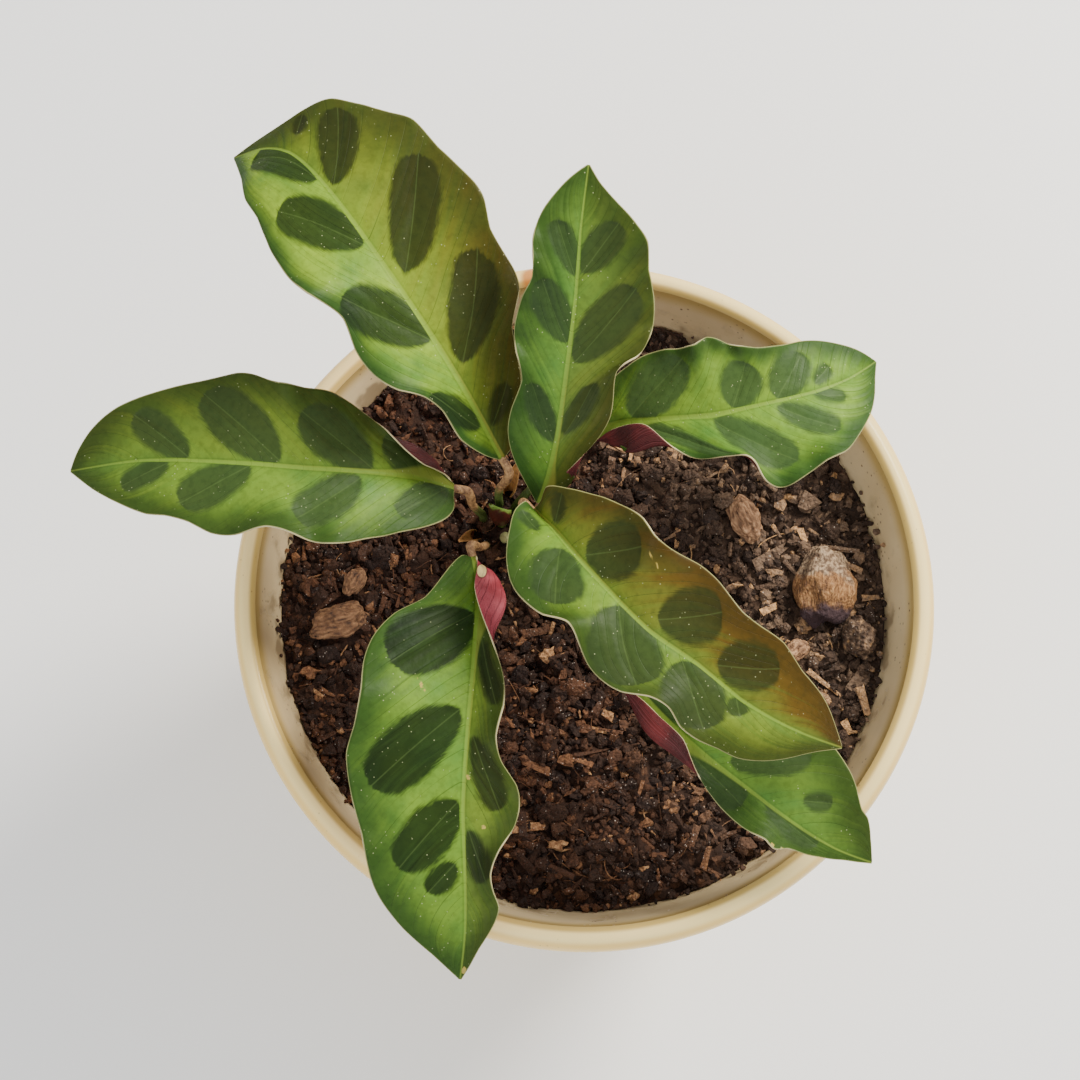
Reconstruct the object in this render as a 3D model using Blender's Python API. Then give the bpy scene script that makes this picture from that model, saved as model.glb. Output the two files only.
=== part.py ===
"""A young calathea in a round glazed pot: seven waved leaves on stalks that stand in potting mix.

Lengths are in millimetres and become metres when a mesh is written. The origin is the middle of the
pot's base, +Z is up, and the plant's crown stands a little off the pot's middle.
"""

import math

import bmesh
import bpy
import numpy as np
from mathutils import Matrix, Vector, noise

MM = 0.001
GAP = 0.35  # air left between two pieces that touch

# Pot
POT_HEIGHT = 150.0
POT_RADIUS = 100.0  # at the widest line of the rolled rim
POT_BASE_RADIUS = 66.0
POT_SIDES = 64
RIM_WIDTH = 8.2  # the rolled rim's own section is an oval
RIM_DEPTH = 13.0
RIM_STEPS = 9
WALL = 6.2
WALL_STEPS = 6
FLOOR = 8.0
FOOT_BEVEL = 2.0
MOUTH_RADIUS = 93.4  # where the rim turns down into the pot
FLARE = 0.1  # the share of the wall's widening that comes in a flare below the rim
DRAIN_COUNT = 3
DRAIN_RADIUS = 4.5
DRAIN_RING = 34.0

# Potting mix
SOIL_LEVEL = 131.0
SOIL_RINGS = 14
LUMP_HEIGHT = 3.2
LUMP_SIZE = 10.0
SEAT_MARGIN = 7.0  # soil kept level this far round whatever lies on it
CROWN = (-23.2, 22.6)
CROWN_LEVEL_RADIUS = 15.0
ROOT_DEPTH = 12.0  # how far each stalk reaches into the soil

# Leaves
BLADE_THICKNESS = 0.8
BLADE_ROWS = 20
BLADE_COLUMNS = 6  # across each half
BLADE_NECK = 1.0  # half the blade's width where the stalk joins
BLADE_TIP = 0.4
STALK_RADIUS = 1.35
STALK_NECK_RADIUS = 1.05
STALK_POINTS = 11

# Each leaf's midrib runs base to tip in x, y and z. Each margin is the outline seen from above, in x
# and y, without the base and the tip, which are the midrib's own. rise is how steeply each half climbs
# from the midrib, at the base and at the tip. A ruffle is its place along the margin, its half length,
# how far it lifts the margin, and how far it bulges the half outwards under the margin.
LEAVES = {
    "a": {
        "midrib": [(-23.3, 30.4, 183), (-32.9, 44.8, 198), (-43.8, 60.2, 208), (-56.9, 78.7, 213),
                   (-69.3, 96.4, 212), (-80.2, 109.1, 206.5), (-88.5, 112.7, 201), (-97.2, 112.8, 194)],
        "left": [(-27.1, 29.9), (-34.4, 32.8), (-38.8, 38.7), (-43.7, 41), (-50.1, 41.6), (-56.6, 45.5),
                 (-61.6, 51.8), (-64.6, 59.2), (-67.6, 61.4), (-73.7, 64.2), (-79.9, 71), (-84.6, 79.4),
                 (-88.4, 89), (-92.1, 95.4), (-93.9, 103.1)],
        "right": [(-19.8, 34.2), (-18.7, 42.7), (-18.1, 50.1), (-20.5, 61.7), (-18.5, 72.1), (-20.5, 78.2),
                  (-26.4, 86.5), (-27.9, 93.2), (-30.9, 98), (-40.1, 107.9), (-47.3, 116.7), (-58, 120.8),
                  (-69.3, 124.3), (-75.4, 123), (-81, 120.2), (-88.1, 117.2)],
        "rise": {"left": (0.25, 0.12), "right": (-0.1, 0.1)},
        "ruffles": {
            "left": [(0.22, 0.07, 3.0, 0), (0.38, 0.08, -2.5, 0), (0.53, 0.06, 3.5, 0), (0.75, 0.1, -2.0, 0)],
            "right": [(0.22, 0.07, 2.5, 0), (0.33, 0.06, -3.0, 0), (0.46, 0.06, 3.5, 0),
                      (0.7, 0.12, -3.0, 0)],
        },
        "stalk": [(-24.4, 27.3, 145), (-24, 25.5, 170)],
    },
    "b": {
        "midrib": [(-13, 19.6, 175), (-10.3, 25.2, 187), (-8.2, 33.7, 197), (-6, 48.3, 207.5),
                   (-3.8, 65.6, 215.5), (-2.6, 81.5, 221), (-0.5, 98.2, 225)],
        "left": [(-16.8, 23.9), (-20.2, 29.3), (-21.6, 35), (-20.5, 40.1), (-17.9, 45.6), (-19.4, 51.7),
                 (-19.8, 58.7), (-17.8, 65.7), (-15.2, 70.2), (-15.2, 78.3), (-13.6, 84.4), (-9.6, 90.5),
                 (-5, 95.2)],
        "right": [(-8.9, 23.2), (-4.4, 26.2), (-1.4, 28.9), (3.2, 33.2), (5.7, 37), (6.4, 41.2), (7, 46.2),
                  (12, 49.7), (14.5, 52.7), (16.5, 57.7), (16.7, 65.4), (15.3, 71), (14.9, 77.2),
                  (11.4, 83.1), (7, 88.3), (2.5, 93.5)],
        "rise": {"left": (0.3, 0.15), "right": (0.3, 0.15)},
        "ruffles": {
            "left": [(0.2, 0.08, -1.0, 0), (0.35, 0.06, 3.5, 0), (0.5, 0.08, -2.0, 0), (0.67, 0.06, 2.5, 0)],
            "right": [(0.1, 0.06, 3.0, 4), (0.37, 0.06, 4.5, 0), (0.56, 0.08, -3.0, 0), (0.74, 0.06, 2.0, 0)],
        },
        "stalk": [(-16.3, 23.5, 145), (-14.6, 20.8, 162)],
    },
    "c": {
        "midrib": [(1.1, 41, 163), (7.1, 44.2, 168), (18.6, 44.4, 173), (35, 44.8, 176.5), (48.8, 47.7, 177),
                   (62.7, 51.7, 175), (73.6, 56.9, 171), (82.1, 63.4, 166.5)],
        "left": [(1.7, 48.7), (7.3, 56.1), (11.8, 59.4), (16.8, 62.1), (22.4, 62.7), (29.4, 62.6),
                 (32.9, 65.5), (37.3, 64.6), (41.8, 62.9), (48.7, 63.1), (54.1, 64.6), (59.5, 66.6),
                 (65.4, 67.5), (70.9, 67.2), (76.7, 66)],
        "right": [(6.1, 42.1), (12.7, 42.5), (16.2, 41.8), (19.6, 39.3), (25, 34.8), (28.9, 32.7),
                  (34.3, 31.9), (42.8, 31.5), (46.2, 29.2), (49, 25.2), (51.9, 23.9), (56.3, 24.8),
                  (60.8, 27.6), (65.8, 31), (71.2, 33.8), (74.7, 38.2), (79.3, 46.4), (80.9, 52.4),
                  (81.5, 57.9)],
        "rise": {"left": (0.25, 0.1), "right": (0.1, 0.05)},
        "ruffles": {
            "left": [(0.25, 0.08, -1.5, 0), (0.42, 0.05, 3.5, 0), (0.6, 0.07, 2.5, 0), (0.8, 0.1, -2.0, 0)],
            "right": [(0.12, 0.09, 6.0, 8), (0.41, 0.06, 5.0, 3), (0.54, 0.07, -2.5, 0), (0.7, 0.07, 2.0, 0)],
        },
        "stalk": [(-18.6, 28.8, 142), (-11.9, 32.8, 154), (-4.9, 37.4, 160)],
    },
    "d": {
        "midrib": [(-36.8, 25.5, 170), (-48, 26.1, 179), (-62.2, 25.9, 186), (-76.5, 25.8, 189.5),
                   (-90.4, 26.8, 190), (-105.3, 28.1, 188), (-120.3, 29.3, 184), (-132.3, 29.2, 179),
                   (-142.3, 29.2, 173)],
        "left": [(-36.7, 21.6), (-36.6, 17.5), (-39, 14), (-43.9, 11.5), (-51.2, 9.1), (-61.4, 5.4),
                 (-67.7, 3.9), (-74.6, 4.8), (-80.5, 7), (-85.4, 8), (-93.4, 6.8), (-100.8, 7.6),
                 (-106.8, 10.7), (-113.8, 13), (-118.8, 13.7), (-127.9, 18), (-135.1, 22.7)],
        "right": [(-39.2, 28.4), (-44.5, 29.3), (-49.4, 32.3), (-54.9, 37.7), (-62.4, 43), (-68.9, 46.6),
                  (-76.3, 46.9), (-83.2, 47.8), (-88.8, 50.2), (-94.8, 51.5), (-104.8, 50), (-116.8, 47.7),
                  (-128.2, 44.1), (-136.1, 38.8), (-140.4, 33.3)],
        "rise": {"left": (0.2, 0.1), "right": (0.2, 0.12)},
        "ruffles": {
            "left": [(0.2, 0.08, -2.0, 0), (0.32, 0.06, 1.5, 0), (0.47, 0.06, 3.5, 0), (0.6, 0.07, -2.0, 0)],
            "right": [(0.1, 0.08, 4.5, 6), (0.28, 0.08, -1.5, 0), (0.42, 0.06, 3.0, 0), (0.62, 0.1, -2.5, 0)],
        },
        "stalk": [(-29.4, 24.2, 145), (-32, 23.4, 160)],
    },
    "e": {
        "midrib": [(-14.8, 14.4, 188), (-9.2, 7.8, 194), (-3.3, -0.5, 198.5), (5.5, -11, 201.5),
                   (15.7, -21.7, 203), (27.7, -29.9, 202), (39.1, -38.7, 199), (49.1, -43.8, 194.5),
                   (58.1, -46.7, 188.5), (67, -48.4, 181)],
        "left": [(-12.4, 16.8), (-11.2, 19.6), (-5.7, 18.2), (1.2, 15.6), (8.1, 12.1), (13.6, 7.5),
                 (16.5, 2.5), (21.3, -0.7), (28.1, -4.3), (33.4, -9.2), (39.1, -16.8), (44.4, -20.5),
                 (50.1, -23.9), (55.2, -30.5), (60.8, -36), (63.9, -41.1)],
        "right": [(-16.7, 16.4), (-19.6, 13.5), (-21, 8), (-21.9, -0), (-20.9, -7.3), (-17.9, -12.6),
                  (-12.5, -17.5), (-6.1, -20.1), (-3.7, -24.1), (-0.8, -30.5), (3, -34.7), (7.8, -37.6),
                  (14.6, -38.9), (19.9, -41.9), (22.7, -46.3), (27.9, -49.7), (32.7, -51.3), (37.9, -53.3),
                  (45, -53.7), (52.7, -52.2), (59.9, -50.1)],
        "rise": {"left": (0.3, 0.12), "right": (0.15, 0.12)},
        "ruffles": {
            "left": [(0.18, 0.08, -1.0, 0), (0.33, 0.05, 3.5, 0), (0.47, 0.07, -2.0, 0),
                     (0.62, 0.06, 2.0, 0)],
            "right": [(0.2, 0.08, -2.0, 0), (0.35, 0.05, 4.0, 0), (0.48, 0.06, -2.0, 0), (0.6, 0.05, 3.0, 0),
                      (0.8, 0.08, -1.5, 0)],
        },
        "stalk": [(-16.2, 18.2, 148), (-16, 15.3, 170)],
    },
    "f": {
        "midrib": [(3.7, -16.6, 158), (15.9, -32.7, 166), (28.9, -46.6, 170), (41.3, -56.9, 171),
                   (55.4, -66.9, 167.5), (67.1, -73.2, 162), (77.9, -76.3, 155)],
        "left": [(9.6, -16.5), (19.4, -21.3), (32, -28.1), (44.6, -34.2), (56, -39.4), (64.5, -44.7),
                 (70.1, -51.7), (72.8, -57.7), (74.1, -62.9), (76, -64.9), (77.2, -69.9)],
        "right": [(4.7, -20.3), (8.1, -26.2), (14.9, -33.5), (19.8, -39), (25.6, -45.2), (27.4, -49.6),
                  (30.2, -55.7), (35.4, -63.1), (40.1, -67.4), (43.4, -69.8), (47.2, -71.8), (49.6, -74.2),
                  (53.4, -73.9), (60.5, -75.5), (69.4, -76.2)],
        "rise": {"left": (0.15, 0.1), "right": (0.15, 0.05)},
        "ruffles": {
            "left": [(0.4, 0.1, 2.0, 0), (0.65, 0.08, -2.0, 0), (0.85, 0.05, 2.0, 0)],
            "right": [(0.3, 0.14, 4.0, 6), (0.55, 0.08, -2.0, 0), (0.72, 0.05, 2.5, 0)],
        },
        "stalk": [(-18.6, 11.1, 142), (-10.5, -0.9, 151), (-3.2, -9.5, 154.5)],
    },
    "g": {
        "midrib": [(-31.3, 6.4, 167), (-29.7, -2.2, 173), (-30, -15.8, 179.5), (-30.8, -30.4, 184),
                   (-32.2, -48.3, 185.5), (-33.1, -65.4, 183), (-32.6, -81.8, 177.5), (-32.7, -95.8, 169.5),
                   (-34.2, -107.8, 159)],
        "left": [(-30.1, 2.2), (-30.6, -4.6), (-28.5, -12.9), (-25, -22.1), (-22.5, -30.7), (-22.5, -39),
                 (-24.4, -46.7), (-22.9, -53.1), (-19.1, -58.9), (-18.2, -64.1), (-19.6, -69.8),
                 (-23.5, -75.8), (-25.8, -81.9), (-24.9, -86.5), (-23.6, -89.9), (-25, -94.1), (-28.9, -100),
                 (-31.3, -104.1)],
        "right": [(-34.2, 6.5), (-39, 0), (-44.2, -7.9), (-51.4, -12.7), (-57.2, -19.6), (-59.5, -26.8),
                  (-59.8, -34.7), (-61.6, -44.2), (-63.5, -51.2), (-62, -62.8), (-59.4, -71.8), (-57.4, -82),
                  (-55.1, -87.5), (-49.3, -95), (-41.8, -101.4)],
        "rise": {"left": (0.3, 0.1), "right": (0.25, 0.12)},
        "ruffles": {
            "left": [(0.12, 0.09, 6.0, 7.5), (0.41, 0.06, 3.5, 0), (0.54, 0.07, -2.5, 0),
                     (0.73, 0.05, 3.0, 0)],
            "right": [(0.3, 0.08, -1.5, 0), (0.39, 0.06, 2.0, 0), (0.55, 0.08, -1.5, 0), (0.7, 0.07, 2.0, 0)],
        },
        "stalk": [(-28.5, 14.8, 145), (-29.9, 11.3, 158)],
    },
}

# Where each stalk and each smaller piece of the crown stands in the soil
FEET = {
    "a": (-25, 29.4), "b": (-17, 25.6), "c": (-20.3, 28.9), "d": (-29.2, 26.1),
    "e": (-16.5, 20.7), "f": (-20.8, 15.9), "g": (-28.5, 18),
}

# Small pieces of the crown: the points that each follows from its foot up, its radius at the foot,
# at its widest and at its tip
SPROUTS = {
    "new_leaf": {"path": [(-23.8, 25, 131), (-24.1, 23.5, 146), (-25.2, 23.5, 158)],
                 "radii": (1.1, 2.3, 0.5), "colour": "young"},
    "bud": {"path": [(-23, 20.3, 131), (-22.7, 18.9, 138), (-22.1, 16.8, 146)],
            "radii": (1.2, 1.6, 0.3), "colour": "bud"},
    "dry_sheath_long": {"path": [(-21.8, 33.9, 131), (-20.6, 34.4, 146), (-18.9, 35.5, 160)],
                        "radii": (0.9, 1.4, 0.4), "colour": "dry"},
    "dry_sheath_short": {"path": [(-31.5, 21.3, 131), (-33.5, 18.8, 140), (-35.7, 15.8, 147)],
                         "radii": (0.9, 1.3, 0.4), "colour": "dry"},
}

# Pieces that lie on the soil: middle, length, width, height, and the turn of the length from +X
CHIPS = {
    "husk_chunk": {"at": (69.7, 5.1), "size": (24, 17, 10), "turn": 80, "colour": "husk"},
    "soil_clod": {"at": (79.8, -9.8), "size": (12, 9, 8), "turn": 110, "colour": "clod"},
    "bark_chip_left": {"at": (-71.1, -4.9), "size": (17, 10, 5), "turn": 15, "colour": "bark"},
    "bark_chip_left_small": {"at": (-66.8, 7.1), "size": (9, 6, 4), "turn": 60, "colour": "bark"},
    "bark_chip_right": {"at": (47.6, 26.2), "size": (15, 9, 5), "turn": 110, "colour": "bark"},
    "bark_chip_front": {"at": (61.1, -13.8), "size": (10, 6, 4), "turn": 35, "colour": "bark"},
}

COLOURS = {
    "glaze": ((0.79, 0.72, 0.54), 0.18),
    "soil": ((0.09, 0.055, 0.038), 0.95),
    "leaf": ((0.13, 0.26, 0.06), 0.4),
    "underside": ((0.20, 0.03, 0.06), 0.5),
    "stalk": ((0.33, 0.30, 0.10), 0.5),
    "young": ((0.30, 0.36, 0.12), 0.45),
    "bud": ((0.62, 0.60, 0.38), 0.5),
    "dry": ((0.47, 0.27, 0.12), 0.85),
    "husk": ((0.42, 0.30, 0.19), 0.9),
    "clod": ((0.16, 0.12, 0.10), 0.95),
    "bark": ((0.34, 0.22, 0.14), 0.9),
}


def clear_scene():
    for old in list(bpy.data.objects):
        bpy.data.objects.remove(old)


def material(name):
    """The material of that colour name, made once."""
    found = bpy.data.materials.get(name)
    if found:
        return found
    colour, roughness = COLOURS[name]
    made = bpy.data.materials.new(name)
    made.use_nodes = True
    shader = made.node_tree.nodes["Principled BSDF"]
    shader.inputs["Base Color"].default_value = (*colour, 1)
    shader.inputs["Roughness"].default_value = roughness
    shader.inputs["Metallic"].default_value = 0
    made.diffuse_color = (*colour, 1)
    return made


def add_object(name, mesh_in_mm, colour):
    """Writes a bmesh in millimetres as a named object in metres, and frees the bmesh."""
    bmesh.ops.scale(mesh_in_mm, vec=(MM, MM, MM), verts=mesh_in_mm.verts)
    mesh = bpy.data.meshes.new(name)
    mesh_in_mm.to_mesh(mesh)
    mesh_in_mm.free()
    mesh.materials.append(material(colour))
    made = bpy.data.objects.new(name, mesh)
    bpy.context.scene.collection.objects.link(made)
    return made


def cut(piece, cutter):
    """Takes the cutter's shape out of the piece for good, and removes the cutter."""
    cutter.hide_render = True
    cutter.display_type = "WIRE"
    boolean = piece.modifiers.new("cut", "BOOLEAN")
    boolean.operation = "DIFFERENCE"
    boolean.object = cutter
    graph = bpy.context.evaluated_depsgraph_get()
    result = bpy.data.meshes.new_from_object(piece.evaluated_get(graph))
    piece.modifiers.clear()
    piece.data = result
    bpy.data.objects.remove(cutter)


def smooth_line(points, count):
    """That many evenly spaced points on a smooth curve through the given ones, in 2-D or 3-D."""
    knots = np.array(points, float)
    knots = np.vstack([2 * knots[0] - knots[1], knots, 2 * knots[-1] - knots[-2]])
    steps = np.sqrt(np.linalg.norm(np.diff(knots, axis=0), axis=1))
    at = np.concatenate([[0], np.cumsum(steps)])
    dense = []
    for i in range(1, len(knots) - 2):
        t = np.linspace(at[i], at[i + 1], 24, endpoint=False)[:, None]
        layer = [knots[i - 1 + k] for k in range(4)]
        times = [at[i - 1 + k] for k in range(4)]
        for width in (1, 2, 3):
            layer = [
                (times[k + width] - t) / (times[k + width] - times[k]) * layer[k]
                + (t - times[k]) / (times[k + width] - times[k]) * layer[k + 1]
                for k in range(4 - width)
            ]
        dense.append(layer[0])
    dense = np.vstack([*dense, knots[-2]])
    along = np.concatenate([[0], np.cumsum(np.linalg.norm(np.diff(dense, axis=0), axis=1))])
    wanted = np.linspace(0, along[-1], count)
    return np.stack([np.interp(wanted, along, column) for column in dense.T], axis=1)


def across(line):
    """The level unit vector to the right of a line at each of its points, looking along it."""
    ahead = np.gradient(line[:, :2], axis=0)
    right = np.stack([ahead[:, 1], -ahead[:, 0]], axis=1)
    return right / np.linalg.norm(right, axis=1)[:, None]


def bump(t, place, half_length):
    return math.exp(-(((t - place) / half_length) ** 2))


def blade_grid(leaf, rows, columns):
    """Points of the blade's middle surface: rows from base to tip, each from left margin to right."""
    midrib = smooth_line(leaf["midrib"], rows + 1)
    right_of = across(midrib)
    grid = np.zeros((rows + 1, 2 * columns + 1, 3))
    grid[:, columns] = midrib
    for side, sign in (("left", -1), ("right", 1)):
        base = midrib[0, :2] + sign * BLADE_NECK * right_of[0]
        tip = midrib[-1, :2] + sign * BLADE_TIP * right_of[-1]
        margin = smooth_line([base, *leaf[side], tip], rows + 1)
        steep_base, steep_tip = leaf["rise"][side]
        for row in range(rows + 1):
            t = row / rows
            start = min(1.0, t / 0.05)
            reach = np.linalg.norm(margin[row] - midrib[row, :2])
            climb = (steep_base + (steep_tip - steep_base) * t) * reach
            lift = start * sum(h * bump(t, p, s) for p, s, h, _ in leaf["ruffles"][side])
            bulge = start * sum(b * bump(t, p, s) for p, s, _, b in leaf["ruffles"][side])
            for column in range(1, columns + 1):
                v = column / columns
                level = midrib[row, :2] + (margin[row] - midrib[row, :2]) * v
                level = level + sign * right_of[row] * bulge * math.sin(math.pi * v)
                height = midrib[row, 2] + climb * v + lift * v * v
                grid[row, columns + sign * column] = (*level, height)
    return grid


def leaf_blade(name, leaf):
    """The blade as a thin closed sheet, cut into the same triangles on both faces."""
    points = blade_grid(leaf, BLADE_ROWS, BLADE_COLUMNS)
    sheet = bmesh.new()
    bmesh.ops.create_grid(sheet, x_segments=2 * BLADE_COLUMNS, y_segments=BLADE_ROWS, size=1)
    sheet.verts.ensure_lookup_table()
    for vert, point in zip(sheet.verts, points.reshape(-1, 3)):
        vert.co = point
    bmesh.ops.triangulate(sheet, faces=sheet.faces)
    blade = add_object(name, sheet, "leaf")
    blade.data.materials.append(material("underside"))
    blade.data.shade_smooth()
    thickness = blade.modifiers.new("thickness", "SOLIDIFY")
    thickness.thickness = BLADE_THICKNESS * MM
    thickness.offset = 0
    thickness.material_offset = 1
    return blade


def tube(name, line, radii, colour):
    """A closed round tube along the line, its radius given at each point."""
    curve = bpy.data.curves.new(name, "CURVE")
    curve.dimensions = "3D"
    curve.bevel_depth = MM
    curve.bevel_resolution = 2
    curve.use_fill_caps = True
    spline = curve.splines.new("POLY")
    spline.points.add(len(line) - 1)
    for point, place, radius in zip(spline.points, line, radii):
        point.co = (*(np.array(place) * MM), 1)
        point.radius = radius
    curve.materials.append(material(colour))
    made = bpy.data.objects.new(name, curve)
    bpy.context.scene.collection.objects.link(made)
    return made


def stalk_line(leaf, foot):
    """The stalk's middle line, from its foot in the soil to just short of the blade."""
    midrib = smooth_line(leaf["midrib"], BLADE_ROWS + 1)
    forward = midrib[1] - midrib[0]
    forward = forward / np.linalg.norm(forward)
    end = midrib[0] - GAP * forward
    before = midrib[0] - 5 * forward
    buried = (*foot, SOIL_LEVEL - ROOT_DEPTH)
    return smooth_line([buried, (*foot, SOIL_LEVEL), *leaf["stalk"], before, end], STALK_POINTS)


def leaf_stalk(name, leaf, foot):
    line = stalk_line(leaf, foot)
    radii = np.linspace(STALK_RADIUS, STALK_NECK_RADIUS, len(line))
    return tube(name, line, radii, "stalk")


def sprout(name, spec):
    """A small tapered piece of the crown, its foot in the soil."""
    foot = spec["path"][0]
    buried = (foot[0], foot[1], SOIL_LEVEL - ROOT_DEPTH)
    line = smooth_line([buried, *spec["path"]], 9)
    at_foot, widest, at_tip = spec["radii"]
    height = (line[:, 2] - SOIL_LEVEL) / (line[-1, 2] - SOIL_LEVEL)
    radii = np.interp(height, [0.0, 0.35, 0.6, 1.0], [at_foot, widest, widest, at_tip])
    return tube(name, line, radii, spec["colour"])


def turned(profile):
    """A closed turned shape from a profile that starts and ends on the axis, as (radius, height)."""
    shape = bmesh.new()
    verts = [shape.verts.new((r, 0, z)) for r, z in profile]
    edges = [shape.edges.new(pair) for pair in zip(verts, verts[1:])]
    bmesh.ops.spin(
        shape, geom=verts + edges, cent=(0, 0, 0), axis=(0, 0, 1), angle=math.tau,
        steps=POT_SIDES, use_merge=True, use_duplicate=False,
    )
    bmesh.ops.remove_doubles(shape, verts=shape.verts, dist=0.01)
    bmesh.ops.recalc_face_normals(shape, faces=shape.faces)
    return shape


def inner_radius(z):
    """The pot's inner wall at a height: a straight taper that flares out below the mouth."""
    low, high = FLOOR, POT_HEIGHT - 2
    share = min(1.0, max(0.0, (z - low) / (high - low)))
    bottom = POT_BASE_RADIUS - WALL
    widening = (1 - FLARE) * share + FLARE * share ** 6
    return bottom + (MOUTH_RADIUS - bottom) * widening


def pot_profile():
    rim_r = POT_RADIUS - RIM_WIDTH / 2
    rim_z = POT_HEIGHT - RIM_DEPTH / 2
    outside = [(0, 0), (POT_BASE_RADIUS - FOOT_BEVEL, 0), (POT_BASE_RADIUS, FOOT_BEVEL)]
    for z in np.linspace(FLOOR, POT_HEIGHT - RIM_DEPTH - 0.5, WALL_STEPS):
        outside.append((inner_radius(z) + WALL, z))
    rim = []
    for angle in np.radians(np.linspace(-72, 128, RIM_STEPS)):
        rim.append((rim_r + RIM_WIDTH / 2 * math.cos(angle), rim_z + RIM_DEPTH / 2 * math.sin(angle)))
    inside = [(inner_radius(z), z) for z in np.linspace(POT_HEIGHT - 2, FLOOR, WALL_STEPS + 2)]
    return [*outside, *rim, *inside, (0, FLOOR)]


def pot():
    made = add_object("pot", turned(pot_profile()), "glaze")
    drains = bmesh.new()
    for i in range(DRAIN_COUNT):
        angle = math.tau * i / DRAIN_COUNT + math.pi / 2
        place = Vector((DRAIN_RING * math.cos(angle), DRAIN_RING * math.sin(angle), FLOOR / 2))
        bmesh.ops.create_cone(
            drains, cap_ends=True, segments=16, radius1=DRAIN_RADIUS, radius2=DRAIN_RADIUS,
            depth=3 * FLOOR, matrix=Matrix.Translation(place),
        )
    cut(made, add_object("drain_cutter", drains, "soil"))
    made.data.shade_smooth()
    made.data.set_sharp_from_angle(angle=math.radians(40))
    return made


def ease(x):
    x = min(1.0, max(0.0, x))
    return x * x * (3 - 2 * x)


def soil_height(x, y):
    """The lumpy top of the potting mix, level round the crown and under what lies on it."""
    level = ease((math.dist((x, y), CROWN) - CROWN_LEVEL_RADIUS) / 6)
    for chip in CHIPS.values():
        clear = max(chip["size"][:2]) / 2 + SEAT_MARGIN
        level *= ease((math.dist((x, y), chip["at"]) - clear) / 4)
    lumps = noise.noise(Vector((x, y, 0)) / LUMP_SIZE) + 0.6 * noise.noise(Vector((y, x, 9)) * 2 / LUMP_SIZE)
    return SOIL_LEVEL + LUMP_HEIGHT * lumps * level


def soil():
    """One body of mix that fills the pot, with a plain hole for each stalk."""
    top = SOIL_LEVEL
    outer = inner_radius(top) - GAP
    rings = [(outer * math.sqrt((i + 0.5) / SOIL_RINGS), top) for i in range(SOIL_RINGS)]
    side = [(inner_radius(z) - GAP, z) for z in np.linspace(top, FLOOR + GAP, WALL_STEPS)]
    mass = turned([(0, FLOOR + GAP), *side[::-1], *rings[::-1], (0, top)])
    for vert in mass.verts:
        on_top = abs(vert.co.z - top) < 0.01
        if on_top and math.hypot(vert.co.x, vert.co.y) < outer - 0.5:
            vert.co.z = soil_height(vert.co.x, vert.co.y)
    made = add_object("soil", mass, "soil")
    holes = bmesh.new()
    feet = [(x, y, STALK_RADIUS) for x, y in FEET.values()]
    feet += [(*s["path"][0][:2], s["radii"][0]) for s in SPROUTS.values()]
    for x, y, radius in feet:
        depth = 2 * (ROOT_DEPTH + GAP)
        bmesh.ops.create_cone(
            holes, cap_ends=True, segments=12, radius1=radius + GAP + 0.1, radius2=radius + GAP + 0.1,
            depth=depth, matrix=Matrix.Translation((x, y, top)),
        )
    cut(made, add_object("hole_cutter", holes, "soil"))
    return made


def chip(name, spec):
    """A rough lump with a level underside that rests on the soil."""
    length, width, height = spec["size"]
    lump = bmesh.new()
    bmesh.ops.create_icosphere(lump, subdivisions=2, radius=1)
    for vert in lump.verts:
        seed = Vector(spec["at"]).to_3d()
        rough = 1 + 0.28 * noise.noise(vert.co * 1.7 + seed)
        vert.co *= rough
        vert.co.z = max(vert.co.z, -0.25)
    low = min(v.co.z for v in lump.verts)
    high = max(v.co.z for v in lump.verts)
    for vert in lump.verts:
        vert.co.z = (vert.co.z - low) / (high - low)
    bmesh.ops.scale(lump, vec=(length / 2, width / 2, height), verts=lump.verts)
    turn = Matrix.Rotation(math.radians(spec["turn"]), 3, "Z")
    bmesh.ops.rotate(lump, cent=(0, 0, 0), matrix=turn, verts=lump.verts)
    bmesh.ops.translate(lump, vec=(*spec["at"], SOIL_LEVEL + GAP), verts=lump.verts)
    return add_object(name, lump, spec["colour"])


def main():
    clear_scene()
    pot()
    soil()
    for letter, leaf in LEAVES.items():
        leaf_blade(f"leaf_{letter}_blade", leaf)
        leaf_stalk(f"leaf_{letter}_stalk", leaf, FEET[letter])
    for name, spec in SPROUTS.items():
        sprout(name, spec)
    for name, spec in CHIPS.items():
        chip(name, spec)


main()
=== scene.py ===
# %% [markdown]
# # A young calathea in a glazed pot
#
# Seven patterned leaves stand on thin stalks in a round pot of potting mix. The solid model already holds
# every piece at its real size and place. This lesson dresses it: each solid is replaced by a finer piece
# that keeps its form, and each surface gets a finish made of shader nodes. Lengths are in millimetres
# until a mesh is written, because that is how a leaf or a pot is measured.

import math

import bmesh
import bpy
import numpy as np
from mathutils import Euler, Matrix, Vector, noise


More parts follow.
